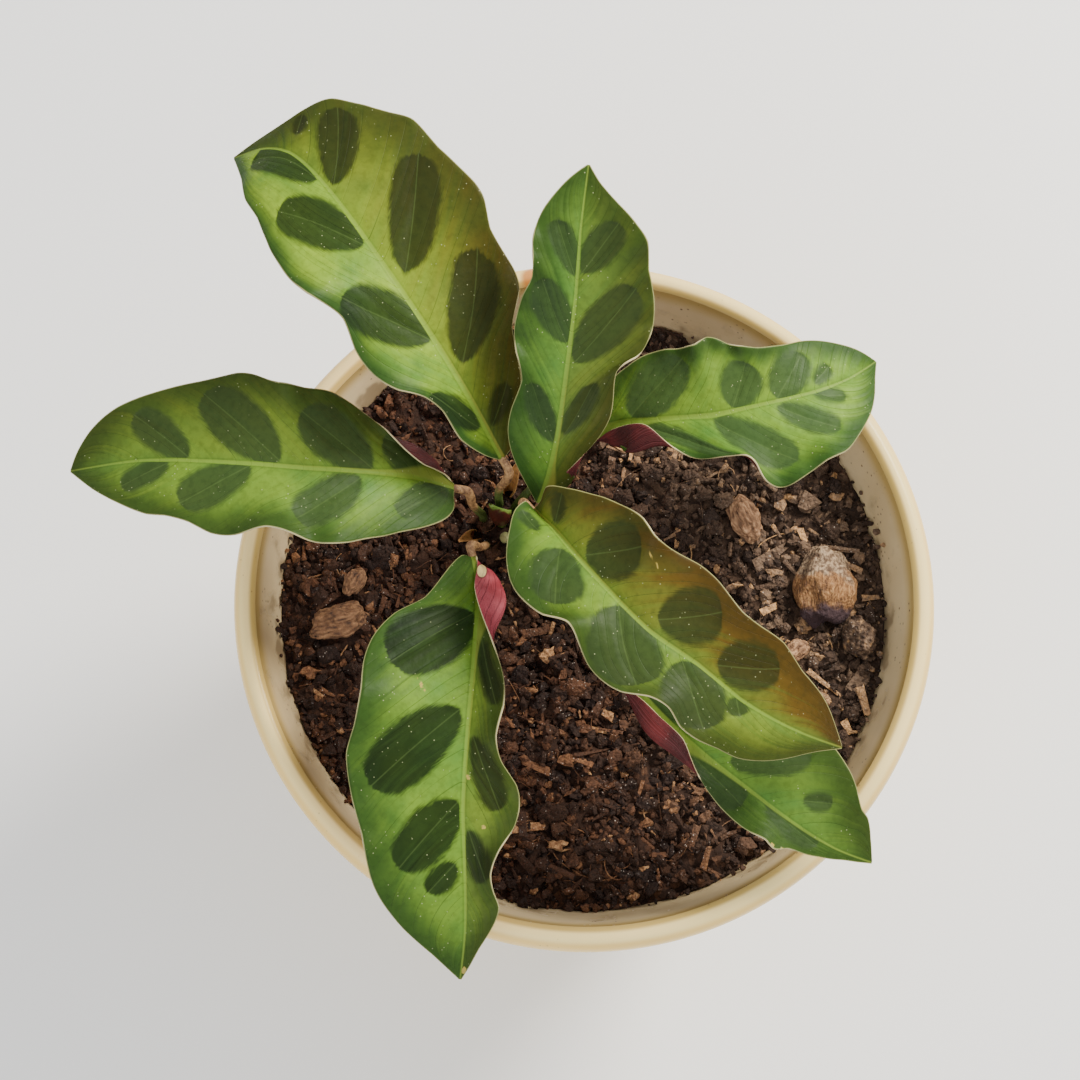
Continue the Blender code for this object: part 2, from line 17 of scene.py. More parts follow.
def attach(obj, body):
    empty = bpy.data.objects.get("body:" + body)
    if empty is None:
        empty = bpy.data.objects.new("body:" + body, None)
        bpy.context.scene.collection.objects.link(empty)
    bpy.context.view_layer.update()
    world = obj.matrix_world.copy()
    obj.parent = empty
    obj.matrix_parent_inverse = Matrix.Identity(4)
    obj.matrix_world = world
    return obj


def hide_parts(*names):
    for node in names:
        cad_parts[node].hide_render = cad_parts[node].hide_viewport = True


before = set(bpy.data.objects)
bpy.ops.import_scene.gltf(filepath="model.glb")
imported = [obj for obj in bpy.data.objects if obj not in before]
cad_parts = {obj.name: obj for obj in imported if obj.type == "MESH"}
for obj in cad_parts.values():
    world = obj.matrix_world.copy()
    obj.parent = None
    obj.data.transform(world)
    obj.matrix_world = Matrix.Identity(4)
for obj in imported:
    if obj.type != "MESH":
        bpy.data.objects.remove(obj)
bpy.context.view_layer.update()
MM = 0.001
rng = np.random.default_rng(27)
print("solids in the frame:", len(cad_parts))

# %% [markdown]
# ## The viewpoint
#
# The plant was seen from above, a little from the front, and about as far away as a raised arm holds a
# camera. A camera this close makes near things clearly larger than far ones, so its distance matters as
# much as its direction. For a camera that looks down, the safest way to turn it is to work out its right,
# its up and its ahead, and to write them into a matrix.

# %% Camera
CAMERA_AT = Vector((-16.8, -133.1, 773.8)) * MM
LOOKS_AT = Vector((-12.7, 15.8, 148)) * MM
LENS_MM = 75.06
SENSOR_MM = 36

ahead = (LOOKS_AT - CAMERA_AT).normalized()
right = ahead.cross(Vector((0, 1, 0))).normalized()
turn = Matrix((right, right.cross(ahead), -ahead)).transposed()
camera = bpy.data.objects.new("camera", bpy.data.cameras.new("camera"))
camera.data.lens = LENS_MM
camera.data.sensor_width = SENSOR_MM
camera.matrix_world = Matrix.Translation(CAMERA_AT) @ turn.to_4x4()
bpy.context.scene.collection.objects.link(camera)
bpy.context.scene.camera = camera
print("camera", round((LOOKS_AT - CAMERA_AT).length, 3), "m from the rim")

# %% [markdown]
# ## Light and floor
#
# Soft daylight reaches the plant from one side of the sky: the leaves throw wide shadows on the mix, and
# the glaze shows a long pale streak. A large lamp gives that, a weaker one from the other side lifts the
# shadows, and a pale world fills the rest. The floor is one plain plane.

# %% Lamps, world and floor
def soft_light(name, place, size, watts, tint):
    """A round area lamp that faces the pot's rim."""
    lamp = bpy.data.lights.new(name, "AREA")
    lamp.shape = "DISK"
    lamp.size = size
    lamp.energy = watts
    lamp.color = tint
    made = bpy.data.objects.new(name, lamp)
    made.location = place
    made.rotation_euler = (LOOKS_AT - Vector(place)).to_track_quat("-Z", "Y").to_euler()
    bpy.context.scene.collection.objects.link(made)


soft_light("window", (0.66, 0.58, 0.84), 0.42, 25, (1.0, 0.96, 0.88))
soft_light("near_side", (-0.5, -0.85, 0.9), 0.9, 7, (0.94, 0.97, 1.0))

world = bpy.data.worlds.new("pale_room")
world.use_nodes = True
background = world.node_tree.nodes["Background"].inputs
background["Color"].default_value = (0.95, 0.97, 1.0, 1)
background["Strength"].default_value = 1.1
bpy.context.scene.world = world
print("lamps and world")

# %% [markdown]
# ## A short way to write a finish
#
# Every finish here is a Principled shader fed by a few textures. Written out in full, each node takes four
# lines, and the idea of the finish drowns in them. This small class adds one node per call and hands back
# its output, so that a finish reads like a recipe. Colours are given as on a screen and turned into the
# linear values that a shader needs.

# %% The class that all finishes use
def paint(red, green, blue):
    """A screen colour, 0 to 255, as a linear colour."""
    shares = [c / 255 for c in (red, green, blue)]
    return (*[((c + 0.055) / 1.055) ** 2.4 if c > 0.04 else c / 12.92 for c in shares], 1)


class Finish:
    """A material while it is being put together. Each method adds a node and gives its output."""

    def __init__(self, name, roughness=0.5, gloss=0.5):
        self.material = bpy.data.materials.new(name)
        self.material.use_nodes = True
        self.nodes = self.material.node_tree.nodes
        self.shader = self.nodes["Principled BSDF"]
        self.shader.inputs["Roughness"].default_value = roughness
        self.shader.inputs["Specular IOR Level"].default_value = gloss

    def feed(self, socket, value):
        if isinstance(value, bpy.types.NodeSocket):
            self.material.node_tree.links.new(value, socket)
        else:
            socket.default_value = value

    def node(self, kind, output, inputs, **settings):
        made = self.nodes.new(kind)
        for key, value in settings.items():
            setattr(made, key, value)
        for key, value in inputs.items():
            self.feed(made.inputs[key], value)
        return made.outputs[output]

    def place(self, scale=(1, 1, 1)):
        """Where a point lies on the plant, in metres, stretched by the scale."""
        where = self.node("ShaderNodeTexCoord", "Object", {})
        return self.node("ShaderNodeMapping", "Vector", {"Vector": where, "Scale": scale})

    def mark(self, name):
        return self.node("ShaderNodeAttribute", "Fac", {}, attribute_name=name)

    def math(self, operation, a, b=0.0):
        return self.node("ShaderNodeMath", "Value", {0: a, 1: b}, operation=operation)

    def plus(self, a, b):
        return self.math("ADD", a, b)

    def minus(self, a, b):
        return self.math("SUBTRACT", a, b)

    def times(self, a, b):
        return self.math("MULTIPLY", a, b)

    def swing(self, wave, by):
        """A wave from 0 to 1, turned into a push of up to half of by to either side."""
        return self.times(self.minus(wave, 0.5), by)

    def sway(self, value, wave, by):
        return self.plus(value, self.swing(wave, by))

    def away(self, where, spot):
        """How far a place lies from a fixed spot."""
        return self.node("ShaderNodeVectorMath", "Value", {0: where, 1: spot}, operation="DISTANCE")

    def axes(self, where, names):
        return [self.node("ShaderNodeSeparateXYZ", name, {"Vector": where}) for name in names]

    def vector(self, x, y, z=0.0):
        return self.node("ShaderNodeCombineXYZ", "Vector", {"X": x, "Y": y, "Z": z})

    def noise(self, vector, scale, detail=3.0):
        return self.node("ShaderNodeTexNoise", "Fac", {"Vector": vector, "Scale": scale, "Detail": detail})

    def cells(self, vector, scale, output="Distance"):
        return self.node("ShaderNodeTexVoronoi", output, {"Vector": vector, "Scale": scale})

    def fade(self, value, start, end):
        """0 at the start value, 1 at the end value, with a smooth change between."""
        inputs = {"Value": value, "From Min": start, "From Max": end}
        return self.node("ShaderNodeMapRange", "Result", inputs, interpolation_type="SMOOTHSTEP")

    def mix(self, share, a, b, blend="MIX"):
        made = self.nodes.new("ShaderNodeMix")
        made.data_type = "RGBA"
        made.blend_type = blend
        for index, value in ((0, share), (6, a), (7, b)):
            self.feed(made.inputs[index], value)
        return made.outputs[2]

    def ramp(self, value, stops):
        made = self.nodes.new("ShaderNodeValToRGB")
        for _ in stops[2:]:
            made.color_ramp.elements.new(0.5)
        for element, (position, colour) in zip(made.color_ramp.elements, stops):
            element.position = position
            element.color = colour
        self.feed(made.inputs["Fac"], value)
        return made.outputs["Color"]

    def lay(self, under, over, share, strength):
        """One colour laid over another, by a share times a strength."""
        return self.mix(self.times(share, strength), under, over)

    def specks(self, where, per_metre, size, patches, chosen, detail=2):
        """1 on small round specks in some patches, else 0. size and chosen say where each fades in."""
        dots = self.fade(self.cells(where, per_metre), *size)
        return self.times(dots, self.fade(self.noise(where, patches, detail), *chosen))

    def relief(self, height, depth_mm, under=None):
        """A bump of that depth for a height between 0 and 1, over an earlier bump if one is given."""
        inputs = {"Height": height, "Distance": depth_mm * MM}
        if under is not None:
            inputs["Normal"] = under
        return self.node("ShaderNodeBump", "Normal", inputs)

    def done(self, colour, normal=None, roughness=None):
        self.feed(self.shader.inputs["Base Color"], colour)
        if normal is not None:
            self.feed(self.shader.inputs["Normal"], normal)
        if roughness is not None:
            self.feed(self.shader.inputs["Roughness"], roughness)
        print("finish", self.material.name, "nodes", len(self.nodes))
        return self.material


print("cream as linear values", [round(share, 3) for share in paint(228, 196, 120)[:3]])

# %% [markdown]
# ## A short way to write a piece
#
# Each piece is shaped in a bmesh in millimetres. Written to a mesh in metres, it becomes an object that
# stays at the origin, rides on the one body of the plant, and hides the solid that it stands for. Loose
# grains stand for no solid, and most are shaded flat, because their facets are their look.

# %% From a bmesh to a piece
def write_piece(name, shape, materials, node=None, smooth=True):
    """Writes a bmesh in millimetres as an object in metres that rides on the part."""
    bmesh.ops.scale(shape, vec=(MM, MM, MM), verts=shape.verts)
    mesh = bpy.data.meshes.new(name)
    shape.to_mesh(mesh)
    shape.free()
    return dress(name, mesh, materials, node, smooth)


def dress(name, mesh, materials, node, smooth=True):
    """Makes the object of a finished mesh, gives it its finish and hides the solid that it stands for."""
    for material in materials:
        mesh.materials.append(material)
    if smooth:
        mesh.shade_smooth()
    else:
        mesh.shade_flat()
    piece = bpy.data.objects.new(name, mesh)
    bpy.context.scene.collection.objects.link(piece)
    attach(piece, "root")
    if node:
        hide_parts(node)
    print("piece", name, "faces", len(mesh.polygons))
    return piece


# %% The floor, plain and pale
FLOOR_HALF_WIDTH = 40  # metres, so that its edges are never in view


def floor_finish():
    f = Finish("pale_floor", roughness=0.7)
    return f.done(f.mix(f.noise(f.place(), 3, 2), paint(240, 239, 236), paint(244, 243, 241)))


floor_shape = bmesh.new()
bmesh.ops.create_grid(floor_shape, x_segments=1, y_segments=1, size=FLOOR_HALF_WIDTH)
floor_mesh = bpy.data.meshes.new("floor")
floor_shape.to_mesh(floor_mesh)
floor_shape.free()
floor_mesh.materials.append(floor_finish())
floor = bpy.data.objects.new("floor", floor_mesh)
bpy.context.scene.collection.objects.link(floor)
print("floor", 2 * FLOOR_HALF_WIDTH, "m wide")

# %% [markdown]
# ## The pot
#
# A glazed pot is thrown or pressed round, so its whole shape is one profile turned about the upright axis.
# A spin of a line of edges does just that. The profile starts and ends on the axis, so the result is a
# closed body with a real inside wall. Its rolled rim is part of an oval, and the wall is a straight taper
# that flares out a little below the rim.

# %% Sizes and profile of the pot
POT_HEIGHT = 150
POT_RADIUS = 100
POT_BASE_RADIUS = 66
RIM_WIDTH = 8.2
RIM_DEPTH = 13
WALL = 6.2
FLOOR = 8
MOUTH_RADIUS = 93.4
FLARE = 0.1
POT_SIDES = 192
DRAIN_COUNT = 3
DRAIN_RADIUS = 4.5
DRAIN_RING = 34


def inner_radius(z):
    """The inside wall's radius at a height."""
    low, high = FLOOR, POT_HEIGHT - 2
    share = min(1.0, max(0.0, (z - low) / (high - low)))
    bottom = POT_BASE_RADIUS - WALL
    widening = (1 - FLARE) * share + FLARE * share ** 6
    return bottom + (MOUTH_RADIUS - bottom) * widening


def arc(middle, width, height, start, end, steps):
    """Points of part of an oval as (radius, height). The angles are in degrees."""
    angles = np.radians(np.linspace(start, end, steps))
    return [(middle[0] + width / 2 * math.cos(a), middle[1] + height / 2 * math.sin(a)) for a in angles]


def pot_profile():
    """The pot's cross-section as (radius, height), from the middle of its foot over the rim to its floor."""
    rim_at = (POT_RADIUS - RIM_WIDTH / 2, POT_HEIGHT - RIM_DEPTH / 2)
    foot = [(0, 0), (30, 0), (62.5, 0), *arc((POT_BASE_RADIUS - 2, 2), 4, 4, -90, 0, 6)]
    outside = [(inner_radius(z) + WALL, z) for z in np.linspace(FLOOR, POT_HEIGHT - RIM_DEPTH - 0.5, 40)]
    rim = arc(rim_at, RIM_WIDTH, RIM_DEPTH, -72, 128, 30)
    inside = [(inner_radius(z), z) for z in np.linspace(POT_HEIGHT - 2, FLOOR + 5, 44)]
    turn_in = arc((inner_radius(FLOOR) - 5, FLOOR + 5), 10, 10, -10, -90, 6)
    return [*foot, *outside, *rim, *inside, *turn_in, (30, FLOOR), (0, FLOOR)]


def turned(profile, sides):
    """A closed turned shape from points given as (radius, height)."""
    shape = bmesh.new()
    verts = [shape.verts.new((r, 0, z)) for r, z in profile]
    edges = [shape.edges.new(pair) for pair in zip(verts, verts[1:])]
    bmesh.ops.spin(
        shape, geom=verts + edges, cent=(0, 0, 0), axis=(0, 0, 1), angle=math.tau,
        steps=sides, use_merge=True, use_duplicate=False,
    )
    bmesh.ops.remove_doubles(shape, verts=shape.verts, dist=0.005)
    bmesh.ops.recalc_face_normals(shape, faces=shape.faces)
    return shape


print("pot profile", len(pot_profile()), "points, mouth", 2 * MOUTH_RADIUS, "mm wide")

# %% [markdown]
# The glaze is a warm cream, glossy, and a little uneven. Over the crest of the rim a brighter line is a
# painted highlight, and just inside the crest a soft olive-yellow band is painted shade in the groove where
# the rim meets the wall. Below that the wall is greyer and carries specks and smears of dirt, thickest next
# to the mix. All of it follows height and radius, so the finish reads the place of each point. The foot
# stays bare clay.

# %% The glaze
# A painted orange-brown shade and reflection on the rim, where it shows between leaves a and b
RIM_SHADE_SPOT_AT = (-0.0137, 0.0945, 0.1495)  # an orange-brown spot on the rim, in metres


def glaze_colours(f, where, z, radius, cloud):
    """Cream outside, greyer inside, a painted crest highlight and painted olive shade. Also gives 1 on the
    inner wall.
    """
    wander = f.swing(f.noise(where, 22, 3), 0.0022)
    cream = f.mix(f.fade(cloud, 0.35, 0.7), paint(228, 196, 120), paint(236, 206, 134))
    # A painted highlight along the crest of the rim
    crest_highlight = f.times(f.fade(z, 0.1478, 0.1497), f.fade(radius, 0.0943, 0.0955))
    cream = f.lay(cream, paint(244, 220, 154), crest_highlight, 0.6)
    outer = f.times(f.fade(radius, 0.0974, 0.0990), f.fade(z, 0.136, 0.140))
    cream = f.lay(cream, paint(226, 186, 98), outer, 0.6)
    # The wall tapers, so inside and outside are told apart by a radius that shrinks with depth
    level = f.minus(radius, f.times(z, 0.245))
    inside = f.times(f.fade(level, 0.0600, 0.0594), f.fade(z, 0.1493, 0.1486))
    inner = f.mix(f.fade(cloud, 0.3, 0.7), paint(194, 170, 126), paint(214, 192, 148))
    colour = f.mix(inside, cream, inner)
    # An olive-yellow band of painted shade in the groove where the rim meets the inner wall
    band = f.times(f.fade(f.plus(z, wander), 0.1425, 0.1476), f.fade(radius, 0.0956, 0.0943))
    return f.lay(colour, paint(178, 148, 74), band, 0.75), inside


def wall_dirt(f, where, z, inside):
    """Specks and smears on the inner wall, thickest next to the mix."""
    specks = f.times(f.specks(where, 520, (0.26, 0.12), 75, (0.50, 0.62), 3), inside)
    low = f.fade(z, 0.148, 0.133)
    patches = f.plus(f.noise(where, 105, 5), f.times(low, 0.22))
    smear = f.times(f.fade(patches, 0.66, 0.86), inside)
    return f.math("MAXIMUM", f.times(specks, 0.8), f.times(smear, 0.6))


def glaze_finish():
    f = Finish("cream_glaze", roughness=0.2, gloss=0.11)
    where = f.node("ShaderNodeTexCoord", "Object", {})
    x, y, z = f.axes(where, "XYZ")
    radius = f.math("SQRT", f.plus(f.times(x, x), f.times(y, y)))
    cloud = f.noise(where, 28, 4)
    colour, inside = glaze_colours(f, where, z, radius, cloud)
    dirt = wall_dirt(f, where, z, inside)
    colour = f.mix(dirt, colour, f.mix(cloud, paint(58, 40, 28), paint(104, 80, 58)))
    rim_specks = f.specks(where, 330, (0.11, 0.05), 50, (0.5, 0.6))
    colour = f.lay(colour, paint(120, 92, 60), rim_specks, 0.55)
    # Painted orange-brown shade and reflection on the rim at that spot
    to_rim_shade_spot = f.away(where, RIM_SHADE_SPOT_AT)
    rim_shade_spot = f.fade(f.plus(to_rim_shade_spot, f.times(cloud, 0.004)), 0.0070, 0.0048)
    colour = f.lay(colour, paint(178, 108, 46), rim_shade_spot, 0.85)
    bare = f.fade(z, 0.0024, 0.0016)
    clay = f.mix(f.noise(where, 240, 4), paint(170, 124, 88), paint(196, 152, 112))
    colour = f.mix(bare, colour, clay)
    rough = f.plus(f.times(f.math("MAXIMUM", bare, dirt), 0.6), 0.2)
    normal = f.relief(f.noise(f.place((1, 1, 4)), 30, 3), 0.22)
    normal = f.relief(f.noise(where, 900, 2), 0.012, normal)
    return f.done(colour, normal, rough)


glaze = glaze_finish()

# %% Turn the pot and drill its drain holes
def cut(piece, cutter):
    """Takes the cutter's shape out of the piece for good, and removes the cutter."""
    boolean = piece.modifiers.new("cut", "BOOLEAN")
    boolean.operation = "DIFFERENCE"
    boolean.object = cutter
    graph = bpy.context.evaluated_depsgraph_get()
    result = bpy.data.meshes.new_from_object(piece.evaluated_get(graph))
    piece.modifiers.clear()
    piece.data = result
    bpy.data.objects.remove(cutter)


pot = write_piece("glazed_pot", turned(pot_profile(), POT_SIDES), [glaze], "pot")
drains = bmesh.new()
for i in range(DRAIN_COUNT):
    angle = math.tau * i / DRAIN_COUNT + math.pi / 2
    middle = Vector((DRAIN_RING * math.cos(angle), DRAIN_RING * math.sin(angle), FLOOR / 2)) * MM
    bmesh.ops.create_cone(
        drains, cap_ends=True, segments=40, radius1=DRAIN_RADIUS * MM, radius2=DRAIN_RADIUS * MM,
        depth=3 * FLOOR * MM, matrix=Matrix.Translation(middle),
    )
drill_mesh = bpy.data.meshes.new("drill")
drains.to_mesh(drill_mesh)
drains.free()
drill = bpy.data.objects.new("drill", drill_mesh)
bpy.context.scene.collection.objects.link(drill)
cut(pot, drill)
pot.data.set_sharp_from_angle(angle=math.radians(42))
print("pot with drain holes, faces", len(pot.data.polygons))

# %% [markdown]
# ## The potting mix
#
# Potting mix is bark, coir and peat in grains of every size, so it looks alive only if it has real depth.
# It is built in four layers: one body with a lumpy top, thousands of loose crumbs with few faces each,
# flat chips of bark and some fine fibres. The body repeats the low mounds of the solid model, and rounded
# grains are pressed into its top with cell noise. It is level round the crown and under the large pieces.

# %% Height of the mix at any point
SOIL_LEVEL = 131.0
SOIL_GAP = 0.35
LUMP_HEIGHT = 3.2
LUMP_SIZE = 10.0
SEAT_MARGIN = 7.0
CROWN = (-23.2, 22.6)
CROWN_LEVEL_RADIUS = 15.0
SOIL_RIM = inner_radius(SOIL_LEVEL) - 0.1
GRAINS = ((4.6, 1.5, 0.6, 0), (1.9, 0.7, 0.7, 40))  # size, height, roundness, and layer of the cell noise
GAP_DEPTH = 1.5  # how far the gaps between grains lie below the mounds

# Pieces that lie on the mix: middle, length, width, height, and the turn of the length from +X
RESTING = {
    "husk_chunk": {"at": (69.7, 5.1), "size": (24, 17, 10), "turn": 80},
    "soil_clod": {"at": (79.8, -9.8), "size": (12, 9, 8), "turn": 110},
    "bark_chip_left": {"at": (-71.1, -4.9), "size": (17, 10, 5), "turn": 15},
    "bark_chip_left_small": {"at": (-66.8, 7.1), "size": (9, 6, 4), "turn": 60},
    "bark_chip_right": {"at": (47.6, 26.2), "size": (15, 9, 5), "turn": 110},
    "bark_chip_front": {"at": (61.1, -13.8), "size": (10, 6, 4), "turn": 35},
}


def ease(x):
    """0 below 0, 1 above 1, and a smooth rise between."""
    x = min(1.0, max(0.0, x))
    return x * x * (3 - 2 * x)


def mounds(x, y):
    """The low mounds of the mix, level round the crown and under what lies on it."""
    level = ease((math.dist((x, y), CROWN) - CROWN_LEVEL_RADIUS) / 6)
    for piece in RESTING.values():
        clear = max(piece["size"][:2]) / 2 + SEAT_MARGIN
        level *= ease((math.dist((x, y), piece["at"]) - clear) / 4)
    lumps = noise.noise(Vector((x, y, 0)) / LUMP_SIZE) + 0.6 * noise.noise(Vector((y, x, 9)) * 2 / LUMP_SIZE)
    return SOIL_LEVEL + LUMP_HEIGHT * lumps * level


def grains(x, y):
    """Rounded grains of two sizes pressed together, as a height to add."""
    height = -GAP_DEPTH
    for size, rise, roundness, layer in GRAINS:
        near, next_near = noise.voronoi(Vector((x, y, layer)) / size)[0][:2]
        height += rise * (next_near - near) ** roundness
    return height


print("mix at the crown", round(mounds(*CROWN), 1), "mm above the ground")

# %% The body of the mix
RINGS = 110
SOIL_SIDES = 600


def mix_body():
    """One turned body whose flat top is then lifted to its mounds and grains."""
    sides = [(inner_radius(z) - SOIL_GAP, z) for z in np.linspace(FLOOR + SOIL_GAP, SOIL_LEVEL - 2, 8)]
    top = [(SOIL_RIM * i / RINGS, SOIL_LEVEL) for i in range(RINGS, 0, -1)]
    body = turned([(0, FLOOR + SOIL_GAP), *sides, *top, (0, SOIL_LEVEL)], SOIL_SIDES)
    for vert in body.verts:
        x, y, z = vert.co
        if z > SOIL_LEVEL - 0.01:
            inward = ease((SOIL_RIM - math.hypot(x, y)) / 1.5)
            vert.co.z = mounds(x, y) + grains(x, y) * inward
    return body


# %% [markdown]
# The crumbs share one finish. Each crumb carries a number, its shade, and a colour ramp turns that number
# into dark peat, brown bark, grey grit or tan husk. Most are dark, and a few pale ones catch the eye.
# Damp specks glint, so small cells get a lower roughness and a pale colour, which is a painted highlight.

# %% Finish of mix, crumbs and chips
DAMP_AND_SHADED_RAMP = [
    (0.0, paint(34, 20, 13)), (0.30, paint(54, 34, 22)), (0.52, paint(74, 47, 30)),
    (0.70, paint(96, 62, 40)), (0.85, paint(126, 86, 55)), (1.0, paint(178, 136, 94)),
]
DRY_AND_LIT_RAMP = [
    (0.0, paint(46, 33, 25)), (0.30, paint(74, 56, 43)), (0.52, paint(100, 79, 62)),
    (0.70, paint(126, 102, 80)), (0.85, paint(166, 128, 90)), (1.0, paint(210, 162, 108)),
]


def mix_colour(f, shade):
    """Dark red-brown where the mix is damp and grey-brown where dry, partly painted light: lighter on the lit
    side.
    """
    where = f.place()
    x, y = f.axes(where, "XY")
    towards = f.plus(x, f.times(y, 0.45))
    patches = f.swing(f.noise(where, 45, 3), 0.09)
    # The dry side is the side the light comes from, so its lighter mix is partly painted light, and the
    # darker damp mix partly painted shade
    dry_and_lit = f.fade(f.plus(towards, patches), -0.015, 0.062)
    return f.mix(dry_and_lit, f.ramp(shade, DAMP_AND_SHADED_RAMP), f.ramp(shade, DRY_AND_LIT_RAMP))


def glints(f):
    """1 on a few tiny wet or glassy grains, else 0."""
    return f.specks(f.place(), 950, (0.22, 0.12), 330, (0.52, 0.60))


def crumb_finish():
    f = Finish("potting_mix", roughness=0.85, gloss=0.3)
    where = f.place()
    grain = f.swing(f.noise(where, 850, 4), 0.62)
    glint = glints(f)
    colour = mix_colour(f, f.plus(f.mark("shade"), f.minus(grain, 0.04)))
    # The pale colour on the glints is a painted highlight
    colour = f.lay(colour, paint(214, 200, 184), glint, 0.55)
    wet = f.math("MAXIMUM", f.fade(f.noise(where, 600, 2), 0.56, 0.68), glint)
    rough = f.minus(0.85, f.times(wet, 0.52))
    normal = f.relief(f.minus(1.0, f.cells(where, 1000)), 0.6)
    normal = f.relief(f.noise(where, 1600, 4), 0.45, normal)
    return f.done(colour, normal, rough)


def body_finish():
    f = Finish("potting_mix_body", roughness=0.9, gloss=0.25)
    where = f.place()
    grain = f.node("ShaderNodeSeparateColor", "Red", {"Color": f.cells(where, 420, "Color")})
    shade = f.plus(f.times(f.times(grain, grain), 0.42), f.times(f.noise(where, 500, 3), 0.45))
    normal = f.relief(f.noise(where, 1100, 4), 0.7)
    return f.done(mix_colour(f, f.minus(shade, 0.15)), normal)


write_piece("potting_mix", mix_body(), [body_finish()], "soil")

# %% [markdown]
# A fine crumb is an icosphere of 20 faces, a coarse one a small sphere of 35, with the corners pushed about,
# squashed and turned. The hundred big clumps get many more faces, because their own grains show. Some
# crumbs have stuck to the wall of the pot, a little above the rest. Making thousands in one bmesh gets
# slower and slower, because each operator looks at the whole mesh, so they are made in batches.

# %% Three kinds of crumb
CRUMB_SHADES = np.array([0.10, 0.25, 0.40, 0.55, 0.68, 0.80, 0.92])
CRUMB_SHARES = np.array([0.20, 0.26, 0.22, 0.13, 0.10, 0.06, 0.03])
WALL_SHARE = 0.07  # share of the crumbs that lie against the wall
WALL_CRUMB_SIZE = 2.6  # larger crumbs don't stick there
STEM_CLEARANCE = 4
LIES_ABOVE = (0.05, 0.32)  # height of a crumb's middle above the mix, as a share of its size
STRETCH = (0.45, 1.35)  # along each of its axes
PUSH = (0.55, 1.4)  # how far each corner is pushed in or out


def free_spot(margin):
    """A random point on the mix that is clear of the large pieces."""
    while True:
        reach = (SOIL_RIM - margin) * math.sqrt(rng.random())
        angle = rng.uniform(0, math.tau)
        x, y = reach * math.cos(angle), reach * math.sin(angle)
        near = [math.dist((x, y), p["at"]) - 0.42 * p["size"][0] for p in RESTING.values()]
        if min(near) > 0 and math.dist((x, y), CROWN) > STEM_CLEARANCE:
            return x, y


def place_crumb(made, marks, size, rough_by=0.0):
    """Turns a ball into one crumb: stretched, turned, laid on the mix or against the wall, and marked."""
    x, y = free_spot(0.6 * size)
    height = mounds(x, y) + grains(x, y) + size * rng.uniform(*LIES_ABOVE)
    if size < WALL_CRUMB_SIZE and rng.random() < WALL_SHARE:
        height = SOIL_LEVEL + rng.exponential(1.1)
        out = (inner_radius(height) - 0.55 * size) / math.hypot(x, y)
        x, y = x * out, y * out
    stretch = size / 2 * rng.uniform(*STRETCH, 3)
    tilt = Euler(rng.uniform(0, math.tau, 3)).to_matrix()
    pushed = rng.uniform(*PUSH, len(made))
    seed = Vector(rng.uniform(0, 90, 3))
    shade = rng.choice(CRUMB_SHADES, p=CRUMB_SHARES) + rng.uniform(-0.05, 0.05)
    for vert, push in zip(made, pushed):
        if rough_by:
            near, next_near = noise.voronoi(vert.co * 2.6 + seed)[0][:2]
            grain = (next_near - near) ** 0.6 - 0.5
            push = 1 + 0.35 * noise.noise(vert.co * 1.2 + seed) + rough_by * grain
        vert.co = tilt @ (vert.co * push * Vector(stretch)) + Vector((x, y, height))
        vert[marks] = shade


def fine_crumb(batch, marks, size):
    place_crumb(bmesh.ops.create_icosphere(batch, subdivisions=1, radius=1)["verts"], marks, size)


def coarse_crumb(batch, marks, size):
    place_crumb(bmesh.ops.create_uvsphere(batch, u_segments=7, v_segments=5, radius=1)["verts"], marks, size)


def clump(batch, marks, size):
    place_crumb(bmesh.ops.create_icosphere(batch, subdivisions=4, radius=1)["verts"], marks, size, 0.45)


# %% Scatter them in batches
BATCH = 160


def scatter(make_one, sizes):
    """One small shape for each size, all in one bmesh. make_one gets the batch, its marks and a size."""
    whole = bmesh.new()
    whole.verts.layers.float.new("shade")
    for start in range(0, len(sizes), BATCH):
        batch = bmesh.new()
        marks = batch.verts.layers.float.new("shade")
        for size in sizes[start:start + BATCH]:
            make_one(batch, marks, size)
        mesh = bpy.data.meshes.new("batch")
        batch.to_mesh(mesh)
        batch.free()
        whole.from_mesh(mesh)
        bpy.data.meshes.remove(mesh)
    return whole


# Most grains are near the least size and a few are much larger, which a gamma distribution gives
mix_finish = crumb_finish()
for name, make_one, sizes, smooth in (
    ("fine_crumbs", fine_crumb, rng.gamma(3.0, 0.42, 7600) + 0.6, False),
    ("coarse_crumbs", coarse_crumb, rng.gamma(4.0, 0.42, 1500) + 1.6, False),
    ("clumps", clump, rng.gamma(4.0, 0.5, 98) + 3.6, True),
):
    write_piece(name, scatter(make_one, sizes), [mix_finish], smooth=smooth)

# %% [markdown]
# Bark and husk split into flat splinters. Each is a cone with six sides and two blunt ends, stretched long
# and flat, its corners pushed about. It lies nearly flat, and some stand up out of the mix. The eight by
# the husk are the pale ones that catch the eye there, so they have places of their own.

# %% Splinters
SPLINTER_SHADES = [0.35, 0.5, 0.66, 0.8, 0.94]
SPLINTER_SHARES = [0.28, 0.27, 0.22, 0.15, 0.08]
BY_THE_HUSK = [  # x, y, turn, length, width, shade
    (62.7, -12.3, 25, 8.0, 3.4, 0.95), (69.7, -22.9, -37, 12.5, 2.0, 0.90), (79.6, -22.5, 60, 7.0, 5.5, 0.62),
    (80.6, -28.0, -75, 8.0, 3.0, 0.88), (75.9, -35.6, -60, 4.2, 2.8, 1.0), (64.9, 19.8, -69, 6.5, 2.2, 1.0),
    (54.9, 15.0, 36, 11.0, 4.6, 0.62), (54.2, -0.8, 28, 5.0, 2.8, 0.95),
]


